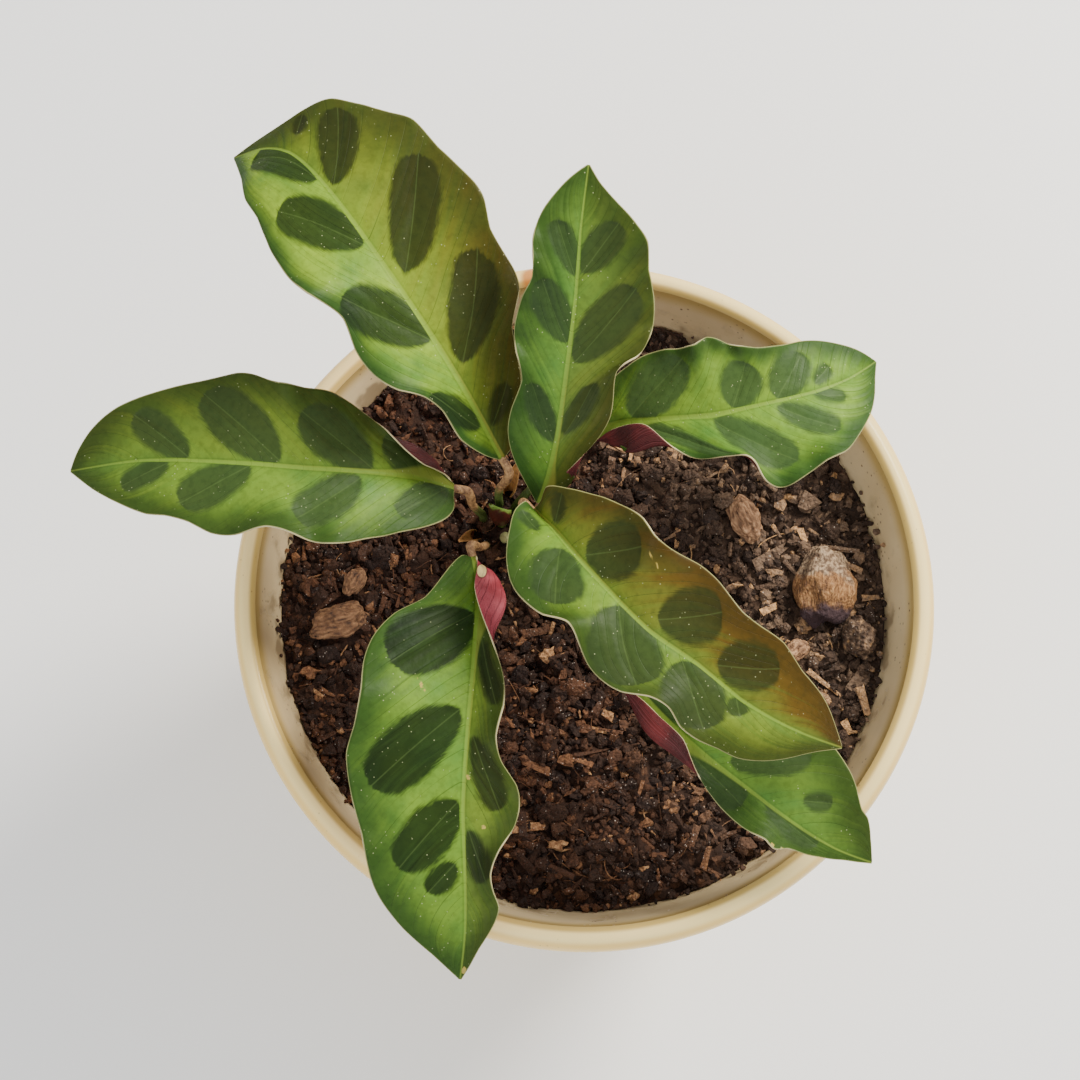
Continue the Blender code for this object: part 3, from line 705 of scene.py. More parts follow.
def splinter(batch, marks, length, spot=None, turn=None, width=None, shade=None):
    """One splinter, at random or at a given spot with its turn in degrees, its width and its shade."""
    x, y = spot or free_spot(0.5 * length)
    width = width or length * rng.uniform(0.16, 0.42)
    thick = rng.uniform(0.5, 1.3)
    taper = rng.uniform(0.25, 0.95)
    made = bmesh.ops.create_cone(
        batch, cap_ends=True, segments=6, radius1=0.5, radius2=0.5 * taper, depth=1)["verts"]
    tilt = Euler((rng.normal(0, 0.3), rng.normal(0, 0.22), rng.uniform(0, math.tau))).to_matrix()
    if turn is not None:
        tilt = Euler((0.1, 0.12, math.radians(turn))).to_matrix()
    middle = Vector((x, y, mounds(x, y) + grains(x, y) + rng.uniform(0.4, 1.5) + (0.8 if spot else 0)))
    if shade is None:
        shade = rng.choice(SPLINTER_SHADES, p=SPLINTER_SHARES)
    for vert in made:
        ragged = rng.uniform(0.8, 1.2, 3)
        flat = (vert.co.z * length * ragged[0], vert.co.x * width * ragged[1], vert.co.y * thick * ragged[2])
        vert.co = tilt @ Vector(flat) + middle
        vert[marks] = shade


splinters = scatter(splinter, rng.gamma(3.0, 0.95, 560) + 2.2)
splinter_marks = splinters.verts.layers.float["shade"]
for x, y, turn, length, width, shade in BY_THE_HUSK:
    splinter(splinters, splinter_marks, length, (x, y), turn, width, shade)
write_piece("bark_slivers", splinters, [mix_finish], smooth=False)

# %% [markdown]
# ## Smooth lines
#
# Stalks, midribs and leaf margins are all smooth curves through a few measured points. This function runs
# a centripetal Catmull-Rom curve through them, which never overshoots between close points, and then
# spaces the result evenly. The solid model uses the same curve, so the fine pieces fall on its solids.

# %% Curves
def smooth_line(points, count):
    """That many evenly spaced points on a smooth curve through the given ones, in 2-D or 3-D."""
    knots = np.array(points, float)
    knots = np.vstack([2 * knots[0] - knots[1], knots, 2 * knots[-1] - knots[-2]])
    steps = np.sqrt(np.linalg.norm(np.diff(knots, axis=0), axis=1))
    at = np.concatenate([[0], np.cumsum(steps)])
    dense = []
    for i in range(1, len(knots) - 2):
        t = np.linspace(at[i], at[i + 1], 24, endpoint=False)[:, None]
        layer = [knots[i - 1 + k] for k in range(4)]
        times = [at[i - 1 + k] for k in range(4)]
        for width in (1, 2, 3):
            layer = [
                (times[k + width] - t) / (times[k + width] - times[k]) * layer[k]
                + (t - times[k]) / (times[k + width] - times[k]) * layer[k + 1]
                for k in range(4 - width)
            ]
        dense.append(layer[0])
    dense = np.vstack([*dense, knots[-2]])
    along = np.concatenate([[0], np.cumsum(np.linalg.norm(np.diff(dense, axis=0), axis=1))])
    wanted = np.linspace(0, along[-1], count)
    return np.stack([np.interp(wanted, along, column) for column in dense.T], axis=1)


def across(line):
    """The level unit vector to the right of a line at each of its points, looking along it."""
    forward = np.gradient(line[:, :2], axis=0)
    sideways = np.stack([forward[:, 1], -forward[:, 0]], axis=1)
    return sideways / np.linalg.norm(sideways, axis=1)[:, None]


print("a curve through three points", smooth_line([(0, 0), (5, 3), (10, 0)], 5).round(2).tolist())

# %% [markdown]
# ## The leaves
#
# A calathea's leaf is a thin blade on both sides of a midrib. Each leaf here is one row of measured
# facts: the midrib from base to tip in x, y and z, and the outline of each half seen from above. Left and
# right are as seen when looking from the base to the tip. Rise says how steeply each half climbs from the
# midrib, at the base and at the tip. A ruffle is its place along the margin, its half length, how far it
# lifts the margin, and how far it bulges the half outwards, which turns some of the purple underside into
# view. Blotches are the dark ovals: each runs from one place to another, given as share of the length and
# share of the half width, and has a width in millimetres. Scars are small ovals given alike. Band is the
# width of the dark margin, and olive says how far a half is turned olive-brown, partly by age and partly as
# painted shade over the whole half, at the base and at the tip.
# Lime, faded and wide belong to the whole leaf: how yellow it is along the midrib, how pale its ovals are
# and how dark its underside is painted as shade, and a factor for their width. Foot is where its stalk
# leaves the mix, and joint how long its tan end is.

# %% The seven leaves
LEAVES = {
    "a": {
        "midrib": [(-23.3, 30.4, 183), (-32.9, 44.8, 198), (-43.8, 60.2, 208), (-56.9, 78.7, 213),
            (-69.3, 96.4, 212), (-80.2, 109.1, 206.5), (-88.5, 112.7, 201), (-97.2, 112.8, 194)],
        "stalk": [(-24.4, 27.3, 145), (-24, 25.5, 170)],
        "foot": (-25, 29.4), "joint": 20, "lime": 1.0, "faded_and_shaded": 0.12, "wide": 1.12,
        "left": {
            "margin": [(-27.1, 29.9), (-34.4, 32.8), (-38.8, 38.7), (-43.7, 41), (-50.1, 41.6),
                (-56.6, 45.5), (-61.6, 51.8), (-64.6, 59.2), (-67.6, 61.4), (-73.7, 64.2), (-79.9, 71),
                (-84.6, 79.4), (-88.4, 89), (-92.1, 95.4), (-93.9, 103.1)],
            "rise": (0.25, 0.12), "band": 2.4, "olive": (0.0, 0.15),
            "ruffles": [(0.22, 0.07, 3.0, 0), (0.38, 0.08, -2.5, 0), (0.53, 0.06, 3.5, 0),
                (0.75, 0.1, -2.0, 0)],
            "blotches": [(0.09, 0.2, 0.2, 0.8, 7), (0.31, 0.05, 0.49, 0.78, 12),
                (0.55, 0.07, 0.75, 0.68, 12), (0.73, 0.03, 0.92, 0.35, 11)],
        },
        "right": {
            "margin": [(-19.8, 34.2), (-18.7, 42.7), (-18.1, 50.1), (-20.5, 61.7), (-18.5, 72.1),
                (-20.5, 78.2), (-26.4, 86.5), (-27.9, 93.2), (-30.9, 98), (-40.1, 107.9), (-47.3, 116.7),
                (-58, 120.8), (-69.3, 124.3), (-75.4, 123), (-81, 120.2), (-88.1, 117.2)],
            "rise": (-0.1, 0.1), "band": 8.5, "olive": (1.05, 0.75),
            "ruffles": [(0.22, 0.07, 2.5, 0), (0.33, 0.06, -3.0, 0), (0.46, 0.06, 3.5, 0),
                (0.7, 0.12, -3.0, 0)],
            "blotches": [(0.08, 0.17, 0.14, 0.7, 5.5), (0.23, 0.15, 0.38, 0.78, 12.5),
                (0.45, 0.12, 0.59, 0.82, 13.5), (0.69, 0.07, 0.78, 0.85, 12), (0.84, 0.35, 0.85, 0.82, 4.5)],
        },
    },
    "b": {
        "midrib": [(-13, 19.6, 175), (-10.3, 25.2, 187), (-8.2, 33.7, 197), (-6, 48.3, 207.5),
            (-3.8, 65.6, 215.5), (-2.6, 81.5, 221), (-0.5, 98.2, 225)],
        "stalk": [(-16.3, 23.5, 145), (-14.6, 20.8, 162)],
        "foot": (-17, 25.6), "joint": 20, "lime": 0.42, "faded_and_shaded": 0.55, "wide": 1.5,
        "left": {
            "margin": [(-16.8, 23.9), (-20.2, 29.3), (-21.6, 35), (-20.5, 40.1), (-17.9, 45.6),
                (-19.4, 51.7), (-19.8, 58.7), (-17.8, 65.7), (-15.2, 70.2), (-15.2, 78.3), (-13.6, 84.4),
                (-9.6, 90.5), (-5, 95.2)],
            "rise": (0.3, 0.15), "band": 4.5, "olive": (0.0, 0.25),
            "ruffles": [(0.2, 0.08, -1.0, 0), (0.35, 0.06, 3.5, 0), (0.5, 0.08, -2.0, 0),
                (0.67, 0.06, 2.5, 0)],
            "blotches": [(0.24, 0.07, 0.34, 0.75, 6), (0.52, 0.07, 0.63, 0.78, 8.5),
                (0.7, 0.05, 0.81, 0.6, 6.5)],
        },
        "right": {
            "margin": [(-8.9, 23.2), (-4.4, 26.2), (-1.4, 28.9), (3.2, 33.2), (5.7, 37), (6.4, 41.2),
                (7, 46.2), (12, 49.7), (14.5, 52.7), (16.5, 57.7), (16.7, 65.4), (15.3, 71), (14.9, 77.2),
                (11.4, 83.1), (7, 88.3), (2.5, 93.5)],
            "rise": (0.3, 0.15), "band": 5.0, "olive": (1.05, 0.45),
            "ruffles": [(0.1, 0.06, 3.0, 4), (0.37, 0.06, 4.5, 0), (0.56, 0.08, -3.0, 0),
                (0.74, 0.06, 2.0, 0)],
            "blotches": [(0.26, 0.12, 0.37, 0.57, 5.5), (0.47, 0.1, 0.63, 0.78, 10),
                (0.71, 0.07, 0.81, 0.72, 8)],
        },
    },
    "c": {
        "midrib": [(1.1, 41, 163), (7.1, 44.2, 168), (18.6, 44.4, 173), (35, 44.8, 176.5), (48.8, 47.7, 177),
            (62.7, 51.7, 175), (73.6, 56.9, 171), (82.1, 63.4, 166.5)],
        "stalk": [(-18.6, 28.8, 142), (-11.9, 32.8, 154), (-4.9, 37.4, 160)],
        "foot": (-20.3, 28.9), "joint": 20, "lime": 0.64, "faded_and_shaded": 0.85, "wide": 1.15,
        "left": {
            "margin": [(1.7, 48.7), (7.3, 56.1), (11.8, 59.4), (16.8, 62.1), (22.4, 62.7), (29.4, 62.6),
                (32.9, 65.5), (37.3, 64.6), (41.8, 62.9), (48.7, 63.1), (54.1, 64.6), (59.5, 66.6),
                (65.4, 67.5), (70.9, 67.2), (76.7, 66)],
            "rise": (0.25, 0.1), "band": 2.8, "olive": (0.25, 0.1),
            "ruffles": [(0.25, 0.08, -1.5, 0), (0.42, 0.05, 3.5, 0), (0.6, 0.07, 2.5, 0),
                (0.8, 0.1, -2.0, 0)],
            "blotches": [(0.17, 0.12, 0.38, 0.85, 10), (0.48, 0.05, 0.57, 0.72, 10),
                (0.62, 0.05, 0.75, 0.75, 9), (0.75, 0.15, 0.82, 0.42, 4.5)],
        },
        "right": {
            "margin": [(6.1, 42.1), (12.7, 42.5), (16.2, 41.8), (19.6, 39.3), (25, 34.8), (28.9, 32.7),
                (34.3, 31.9), (42.8, 31.5), (46.2, 29.2), (49, 25.2), (51.9, 23.9), (56.3, 24.8),
                (60.8, 27.6), (65.8, 31), (71.2, 33.8), (74.7, 38.2), (79.3, 46.4), (80.9, 52.4),
                (81.5, 57.9)],
            "rise": (0.1, 0.05), "band": 3.2, "olive": (0.0, 0.05),
            "ruffles": [(0.12, 0.09, 6.0, 8), (0.41, 0.06, 5.0, 3), (0.54, 0.07, -2.5, 0),
                (0.7, 0.07, 2.0, 0)],
            "blotches": [(0.21, 0.12, 0.39, 0.88, 5), (0.41, 0.07, 0.59, 0.78, 9.5),
                (0.61, 0.07, 0.74, 0.68, 7.5), (0.73, 0.03, 0.82, 0.3, 4.5)],
        },
    },
    "d": {
        "midrib": [(-36.8, 25.5, 170), (-48, 26.1, 179), (-62.2, 25.9, 186), (-76.5, 25.8, 189.5),
            (-90.4, 26.8, 190), (-105.3, 28.1, 188), (-120.3, 29.3, 184), (-132.3, 29.2, 179),
            (-142.3, 29.2, 173)],
        "stalk": [(-29.4, 24.2, 145), (-32, 23.4, 160)],
        "foot": (-29.2, 26.1), "joint": 20, "lime": 0.54, "faded_and_shaded": 0.7, "wide": 1.15,
        "left": {
            "margin": [(-36.7, 21.6), (-36.6, 17.5), (-39, 14), (-43.9, 11.5), (-51.2, 9.1), (-61.4, 5.4),
                (-67.7, 3.9), (-74.6, 4.8), (-80.5, 7), (-85.4, 8), (-93.4, 6.8), (-100.8, 7.6),
                (-106.8, 10.7), (-113.8, 13), (-118.8, 13.7), (-127.9, 18), (-135.1, 22.7)],
            "rise": (0.2, 0.1), "band": 3.6, "olive": (0.1, 0.45),
            "ruffles": [(0.2, 0.08, -2.0, 0), (0.32, 0.06, 1.5, 0), (0.47, 0.06, 3.5, 0),
                (0.6, 0.07, -2.0, 0)],
            "blotches": [(0.03, 0.2, 0.19, 0.7, 7.5), (0.26, 0.1, 0.42, 0.75, 10),
                (0.52, 0.03, 0.69, 0.72, 9.5), (0.72, 0.05, 0.84, 0.55, 6.5)],
        },
        "right": {
            "margin": [(-39.2, 28.4), (-44.5, 29.3), (-49.4, 32.3), (-54.9, 37.7), (-62.4, 43),
                (-68.9, 46.6), (-76.3, 46.9), (-83.2, 47.8), (-88.8, 50.2), (-94.8, 51.5), (-104.8, 50),
                (-116.8, 47.7), (-128.2, 44.1), (-136.1, 38.8), (-140.4, 33.3)],
            "rise": (0.2, 0.12), "band": 4.6, "olive": (0.6, 0.6),
            "ruffles": [(0.1, 0.08, 4.5, 6), (0.28, 0.08, -1.5, 0), (0.42, 0.06, 3.0, 0),
                (0.62, 0.1, -2.5, 0)],
            "blotches": [(0.1, 0.07, 0.19, 0.7, 7.5), (0.23, 0.07, 0.39, 0.7, 12),
                (0.45, 0.07, 0.62, 0.82, 13), (0.67, 0.05, 0.79, 0.75, 9.5)],
        },
    },
    "e": {
        "midrib": [(-14.8, 14.4, 188), (-9.2, 7.8, 194), (-3.3, -0.5, 198.5), (5.5, -11, 201.5),
            (15.7, -21.7, 203), (27.7, -29.9, 202), (39.1, -38.7, 199), (49.1, -43.8, 194.5),
            (58.1, -46.7, 188.5), (67, -48.4, 181)],
        "stalk": [(-16.2, 18.2, 148), (-16, 15.3, 170)],
        "foot": (-16.5, 20.7), "joint": 20, "lime": 0.62, "faded_and_shaded": 0.55, "wide": 1.08,
        "left": {
            "margin": [(-12.4, 16.8), (-11.2, 19.6), (-5.7, 18.2), (1.2, 15.6), (8.1, 12.1), (13.6, 7.5),
                (16.5, 2.5), (21.3, -0.7), (28.1, -4.3), (33.4, -9.2), (39.1, -16.8), (44.4, -20.5),
                (50.1, -23.9), (55.2, -30.5), (60.8, -36), (63.9, -41.1)],
            "rise": (0.3, 0.12), "band": 3.5, "olive": (1.0, 1.5),
            "ruffles": [(0.18, 0.08, -1.0, 0), (0.33, 0.05, 3.5, 0), (0.47, 0.07, -2.0, 0),
                (0.62, 0.06, 2.0, 0)],
            "blotches": [(0.09, 0.15, 0.09, 0.85, 5.5), (0.21, 0.12, 0.33, 0.75, 12.5),
                (0.44, 0.17, 0.57, 0.75, 13.5), (0.61, 0.17, 0.75, 0.68, 11)],
            "scars": [(0.35, 0.8, 0.37, 0.74, 0.6), (0.375, 0.76, 0.39, 0.69, 0.6)],
        },
        "right": {
            "margin": [(-16.7, 16.4), (-19.6, 13.5), (-21, 8), (-21.9, 0), (-20.9, -7.3), (-17.9, -12.6),
                (-12.5, -17.5), (-6.1, -20.1), (-3.7, -24.1), (-0.8, -30.5), (3, -34.7), (7.8, -37.6),
                (14.6, -38.9), (19.9, -41.9), (22.7, -46.3), (27.9, -49.7), (32.7, -51.3), (37.9, -53.3),
                (45, -53.7), (52.7, -52.2), (59.9, -50.1)],
            "rise": (0.15, 0.12), "band": 4.0, "olive": (0.05, 0.9),
            "ruffles": [(0.2, 0.08, -2.0, 0), (0.35, 0.05, 4.0, 0), (0.48, 0.06, -2.0, 0),
                (0.6, 0.05, 3.0, 0), (0.8, 0.08, -1.5, 0)],
            "blotches": [(0.1, 0.38, 0.05, 0.8, 5), (0.16, 0.15, 0.29, 0.72, 12),
                (0.35, 0.07, 0.53, 0.8, 15), (0.54, 0.1, 0.69, 0.78, 13.5), (0.68, 0.02, 0.72, 0.25, 5.5)],
        },
    },
    "f": {
        "midrib": [(3.7, -16.6, 158), (15.9, -32.7, 166), (28.9, -46.6, 170), (41.3, -56.9, 171),
            (55.4, -66.9, 167.5), (67.1, -73.2, 162), (77.9, -76.3, 155)],
        "stalk": [(-18.6, 11.1, 142), (-10.5, -0.9, 151), (-3.2, -9.5, 154.5)],
        "foot": (-20.8, 15.9), "joint": 20, "lime": 0.36, "faded_and_shaded": 0.7, "wide": 1.2,
        "left": {
            "margin": [(9.6, -16.5), (19.4, -21.3), (32, -28.1), (44.6, -34.2), (56, -39.4), (64.5, -44.7),
                (70.1, -51.7), (72.8, -57.7), (74.1, -62.9), (76, -64.9), (77.2, -69.9)],
            "rise": (0.15, 0.1), "band": 6.0, "olive": (0.1, 0.45),
            "ruffles": [(0.4, 0.1, 2.0, 0), (0.65, 0.08, -2.0, 0), (0.85, 0.05, 2.0, 0)],
            "blotches": [(0.2, 0.1, 0.34, 0.7, 12), (0.5, 0.14, 0.65, 0.76, 9), (0.71, 0.28, 0.78, 0.53, 5)],
        },
        "right": {
            "margin": [(4.7, -20.3), (8.1, -26.2), (14.9, -33.5), (19.8, -39), (25.6, -45.2), (27.4, -49.6),
                (30.2, -55.7), (35.4, -63.1), (40.1, -67.4), (43.4, -69.8), (47.2, -71.8), (49.6, -74.2),
                (53.4, -73.9), (60.5, -75.5), (69.4, -76.2)],
            "rise": (0.15, 0.05), "band": 5.0, "olive": (0.1, 0.3),
            "ruffles": [(0.3, 0.14, 4.0, 6), (0.55, 0.08, -2.0, 0), (0.72, 0.05, 2.5, 0)],
            "blotches": [(0.14, 0.1, 0.25, 0.95, 5), (0.39, 0.02, 0.59, 0.5, 9.5),
                (0.64, 0.04, 0.82, 0.3, 6.5)],
            "scars": [(0.71, 0.93, 0.72, 1.0, 1.2), (0.74, 0.95, 0.75, 1.0, 1.0)],
        },
    },
    "g": {
        "midrib": [(-31.3, 6.4, 167), (-29.7, -2.2, 173), (-30, -15.8, 179.5), (-30.8, -30.4, 184),
            (-32.2, -48.3, 185.5), (-33.1, -65.4, 183), (-32.6, -81.8, 177.5), (-32.7, -95.8, 169.5),
            (-34.2, -107.8, 159)],
        "stalk": [(-28.5, 14.8, 145), (-29.9, 11.3, 158)],
        "foot": (-28.5, 18), "joint": 34, "lime": 0.55, "faded_and_shaded": 0.0, "wide": 1.1,
        "left": {
            "margin": [(-30.1, 2.2), (-30.6, -4.6), (-28.5, -12.9), (-25, -22.1), (-22.5, -30.7),
                (-22.5, -39), (-24.4, -46.7), (-22.9, -53.1), (-19.1, -58.9), (-18.2, -64.1), (-19.6, -69.8),
                (-23.5, -75.8), (-25.8, -81.9), (-24.9, -86.5), (-23.6, -89.9), (-25, -94.1), (-28.9, -100),
                (-31.3, -104.1)],
            "rise": (0.3, 0.1), "band": 4.0, "olive": (0.7, 0.5),
            "ruffles": [(0.12, 0.09, 6.0, 7.5), (0.41, 0.06, 3.5, 0), (0.54, 0.07, -2.5, 0),
                (0.73, 0.05, 3.0, 0)],
            "blotches": [(0.23, 0.15, 0.38, 0.78, 4.5), (0.45, 0.2, 0.61, 0.65, 7),
                (0.65, 0.1, 0.77, 0.8, 6)],
            "scars": [(0.53, 0.03, 0.545, 0.12, 0.9), (0.64, 0.35, 0.65, 0.42, 1.2),
                (0.965, 0.3, 0.985, 0.6, 1.3)],
        },
        "right": {
            "margin": [(-34.2, 6.5), (-39, 0), (-44.2, -7.9), (-51.4, -12.7), (-57.2, -19.6), (-59.5, -26.8),
                (-59.8, -34.7), (-61.6, -44.2), (-63.5, -51.2), (-62, -62.8), (-59.4, -71.8), (-57.4, -82),
                (-55.1, -87.5), (-49.3, -95), (-41.8, -101.4)],
            "rise": (0.25, 0.12), "band": 5.5, "olive": (0.1, 0.15),
            "ruffles": [(0.3, 0.08, -1.5, 0), (0.39, 0.06, 2.0, 0), (0.55, 0.08, -1.5, 0),
                (0.7, 0.07, 2.0, 0)],
            "blotches": [(0.17, 0.07, 0.32, 0.75, 16), (0.4, 0.1, 0.57, 0.8, 14),
                (0.59, 0.05, 0.73, 0.68, 11.5), (0.72, 0.1, 0.78, 0.42, 6.5)],
            "scars": [(0.345, 0.5, 0.375, 0.42, 1.0)],
        },
    },
}

print("leaves", len(LEAVES), "dark ovals", sum(
    len(leaf[side]["blotches"]) for leaf in LEAVES.values() for side in ("left", "right")))

# %% [markdown]
# The blade is a grid of points: rows from base to tip, and in each row points from the left margin over the
# midrib to the right margin. Besides its place, each point gets marks, numbers that the finish reads: how
# far it lies from the midrib and from the margin, how deep it lies in a dark blotch, and where it lies
# between two side veins. The marks follow the leaf however it bends, which a texture in space could not.

# %% The shape of a blade and its marks
BLADE_ROWS = 170
BLADE_COLUMNS = 26  # across each half
BLADE_NECK = 1.0  # half width where the blade begins
BLADE_TIP = 0.4
BLADE_THICKNESS = 0.45
VEINS = 27  # side veins that leave each side of the midrib
VEIN_BOW = 1.15  # above 1, so a side vein turns towards the tip on its way out
QUILT = 0.10  # how far the blade puffs up between two side veins
CREASE = 0.75  # depth of the fold along the middle of a dark oval
CREASE_WIDTH = 2.6
GROOVE = 0.55  # depth of the channel over the midrib, at the base
GROOVE_WIDTH = 1.5
FLUTTER = 0.5  # how far the very margin waves up and down
FLUTTERS = 9  # waves of the margin from base to tip
BASE_FADE = 0.05  # share of the length over which ruffles and channel grow in from the base
OLIVE_SPREAD = 0.2  # far below 1, so the olive of age and painted shade reaches from the margin nearly to the midrib
OVAL_WIDEST = 0.59  # where along itself a dark oval is widest
OUTSIDE = -9.0  # depth in a mark of a point that is far outside it


def oval(s, r, reach, length, spec):
    """How deep each point lies inside an oval mark, in mm, and its distance from the mark's middle line."""
    start_t, start_v, end_t, end_v, width = spec
    rows = len(reach) - 1
    start = np.array([start_t * length, start_v * reach[int(start_t * rows)]])
    end = np.array([end_t * length, end_v * reach[int(end_t * rows)]])
    span = np.linalg.norm(end - start)
    forward = (end - start) / span
    x = ((s - start[0]) * forward[0] + (r - start[1]) * forward[1]) / span
    y = (r - start[1]) * forward[0] - (s - start[0]) * forward[1]
    inside = np.clip(x, 0.001, 0.999)
    half = width / 2 * (inside / OVAL_WIDEST) ** 0.52 * ((1 - inside) / (1 - OVAL_WIDEST)) ** 0.36
    beyond = np.abs(x - np.clip(x, 0, 1)) * span
    return np.where(beyond > 0, -np.hypot(beyond, y), half - np.abs(y)), y


def ruffled(ruffles, t):
    """How far the ruffles lift a half's margin and push the half outwards, along the leaf."""
    lift, bulge = np.zeros_like(t), np.zeros_like(t)
    for place, half_length, up, out in ruffles:
        hill = np.exp(-(((t - place) / half_length) ** 2))
        lift += up * hill
        bulge += out * hill
    return lift, bulge


def vein_phase(t, v, blotches, seed):
    """A number that grows by 1 from one side vein to the next. The veins lean as the dark ovals do."""
    long_ones = [b for b in blotches if b[3] - b[1] > 0.3]
    leans = [(b[2] - b[0]) / (b[3] - b[1]) for b in long_ones]
    slope, lean = np.polyfit([b[0] for b in long_ones], leans, 1)
    phase = VEINS * (t - (lean + slope * t) * v ** VEIN_BOW)
    return phase + 0.34 * np.sin(1.45 * phase + seed) + 0.22 * np.sin(2.6 * phase + 2 * seed)


def deepest(specs, s, r, reach, length):
    """Depth in the deepest of some oval marks and the distance from its middle line."""
    depth, middle = np.full(r.shape, OUTSIDE), np.zeros(r.shape)
    for spec in specs:
        deeper, line = oval(s, r, reach, length, spec)
        middle = np.where(deeper > depth, line, middle)
        depth = np.maximum(depth, deeper)
    return depth, middle


print("points in each blade", (BLADE_ROWS + 1) * (2 * BLADE_COLUMNS + 1))

# %% [markdown]
# One half is worked out whole, as arrays over its rows and columns. Its height adds up the climb from the
# midrib, the ruffles, the quilting between the veins, the folds along the ovals, the flutter of the margin
# and the channel over the midrib. Most of these fade out at the base, where the blade meets its stalk.

# %% One half, and the whole blade
def groove_depth(t):
    """Depth of the channel over the midrib, shallower towards the tip."""
    return GROOVE * (1 - 0.6 * t) * np.minimum(1, t / BASE_FADE)


def half_blade(half, sign, wide, midrib, right_of, seed):
    """The points of one half, from beside the midrib to the margin, and their marks."""
    t = np.linspace(0, 1, BLADE_ROWS + 1)[:, None]
    v = np.linspace(1 / BLADE_COLUMNS, 1, BLADE_COLUMNS)[None, :]
    start = np.minimum(1, t / BASE_FADE)
    length = np.linalg.norm(np.diff(midrib, axis=0), axis=1).sum()
    base = midrib[0, :2] + sign * BLADE_NECK * right_of[0]
    tip = midrib[-1, :2] + sign * BLADE_TIP * right_of[-1]
    margin = smooth_line([base, *half["margin"], tip], BLADE_ROWS + 1)
    outward = margin - midrib[:, :2]
    reach = np.linalg.norm(outward, axis=1)
    out = reach[:, None]
    from_rib, edge = out * v, out * (1 - v)
    lift, bulge = ruffled(half["ruffles"], t)
    level = midrib[:, None, :2] + outward[:, None, :] * v[..., None]
    level = level + sign * right_of[:, None, :] * (start * bulge * np.sin(math.pi * v))[..., None]

    phase = vein_phase(t, v, half["blotches"], seed)
    blotches = [(*ends, width * wide) for *ends, width in half["blotches"]]
    depth, middle = deepest(blotches, t * length, from_rib, reach, length)
    scar, _ = deepest(half.get("scars", []), t * length, from_rib, reach, length)
    steep_base, steep_tip = half["rise"]
    climb = (steep_base + (steep_tip - steep_base) * t) * out * v
    quilt = -QUILT * np.cos(math.tau * phase) * np.sin(math.pi * v) * np.minimum(1, out / 8)
    inside = np.clip((depth + 2) / 4, 0, 1)
    fold = np.exp(-np.abs(middle) / CREASE_WIDTH) * inside * np.sin(math.pi * v ** 0.8)
    waves = np.sin(math.tau * (t * FLUTTERS + seed + 0.6 * np.sin(7 * t + 3 * seed))) * np.sin(math.pi * t)
    groove = groove_depth(t) * np.exp(-((from_rib / GROOVE_WIDTH) ** 2))
    height = midrib[:, 2:3] + climb + start * lift * v * v + quilt - CREASE * fold
    height = height + FLUTTER * v ** 4 * waves - groove

    olive_base, olive_tip = half["olive"]
    olive = (olive_base + (olive_tip - olive_base) * t) * v ** OLIVE_SPREAD
    marks = {"from_rib": from_rib, "edge": edge, "blotch": depth, "blotch_vein": middle, "phase": phase,
             "band": edge / half["band"], "olive": olive, "scar": scar}
    return np.concatenate([level, height[..., None]], axis=2), marks


def blade_grid(leaf, seed):
    """Points of the blade's middle surface and their marks."""
    middle = BLADE_COLUMNS
    midrib = smooth_line(leaf["midrib"], BLADE_ROWS + 1)
    t = np.linspace(0, 1, BLADE_ROWS + 1)
    grid = np.zeros((BLADE_ROWS + 1, 2 * middle + 1, 3))
    grid[:, middle] = midrib
    grid[:, middle, 2] -= groove_depth(t)
    marks = {}
    for side, sign in (("left", -1), ("right", 1)):
        points, values = half_blade(leaf[side], sign, leaf["wide"], midrib, across(midrib), seed)
        picks = middle + sign * np.arange(1, middle + 1)
        grid[:, picks] = points
        for name, value in values.items():
            marks.setdefault(name, np.zeros(grid.shape[:2]))[:, picks] = value
    for name in ("edge", "band", "phase"):
        marks[name][:, middle] = marks[name][:, middle + 1]
    for name in ("blotch", "scar"):
        marks[name][:, middle] = OUTSIDE
    marks["along"] = np.repeat(t[:, None], 2 * middle + 1, axis=1)
    for name in ("lime", "faded_and_shaded"):
        marks[name] = np.full(grid.shape[:2], leaf[name])
    return grid, marks

# %% [markdown]
# ## The finish of a leaf
#
# The upper side is yellow-green beside the midrib and darker along the margin, and the change follows the
# side veins in streaks. Dark ovals lie on it, each with a pale vein through its middle. A yellow-green
# midrib with a painted shadow line on either side, fine dark side veins, a thin cream margin and tiny pale
# specks complete it. Some halves are olive to brown, partly by age and partly as painted shade over the
# whole half. The surface is glossy but not smooth, so bumps break up the reflections.

# %% Green, veins and dark ovals
def vein_lines(f, phase, per_phase, width):
    """1 on thin lines, as many for each step of the phase as per_phase says, else 0."""
    wave = f.math("ABSOLUTE", f.minus(f.math("FRACT", f.times(phase, per_phase)), 0.5))
    return f.fade(wave, 0.5 - width, 0.5)


def leaf_green(f, cloud, streak, olive):
    """Yellow-green beside the midrib, darker along the margin, olive-brown on some halves by age and painted
    shade.
    """
    band = f.sway(f.mark("band"), streak, 1.5)
    band = f.fade(f.sway(band, cloud, 1.3), 2.9, 0.2)
    uneven = f.fade(f.plus(cloud, f.times(streak, 0.3)), 0.15, 0.85)
    lime = f.times(f.mark("lime"), uneven)
    centre = f.mix(lime, paint(54, 104, 46), paint(128, 157, 42))
    green = f.mix(band, centre, f.mix(cloud, paint(36, 62, 22), paint(54, 84, 30)))
    # Olive to brown on some halves: partly age, partly painted shade over the whole half
    aged_and_shaded = f.mix(band, paint(94, 90, 28), paint(62, 60, 18))
    browned_and_shaded = f.fade(f.sway(f.mark("olive"), cloud, 0.8), 0.75, 1.2)
    aged_and_shaded = f.mix(browned_and_shaded, aged_and_shaded, f.mix(band, paint(86, 66, 22), paint(66, 50, 16)))
    return f.mix(olive, green, aged_and_shaded)


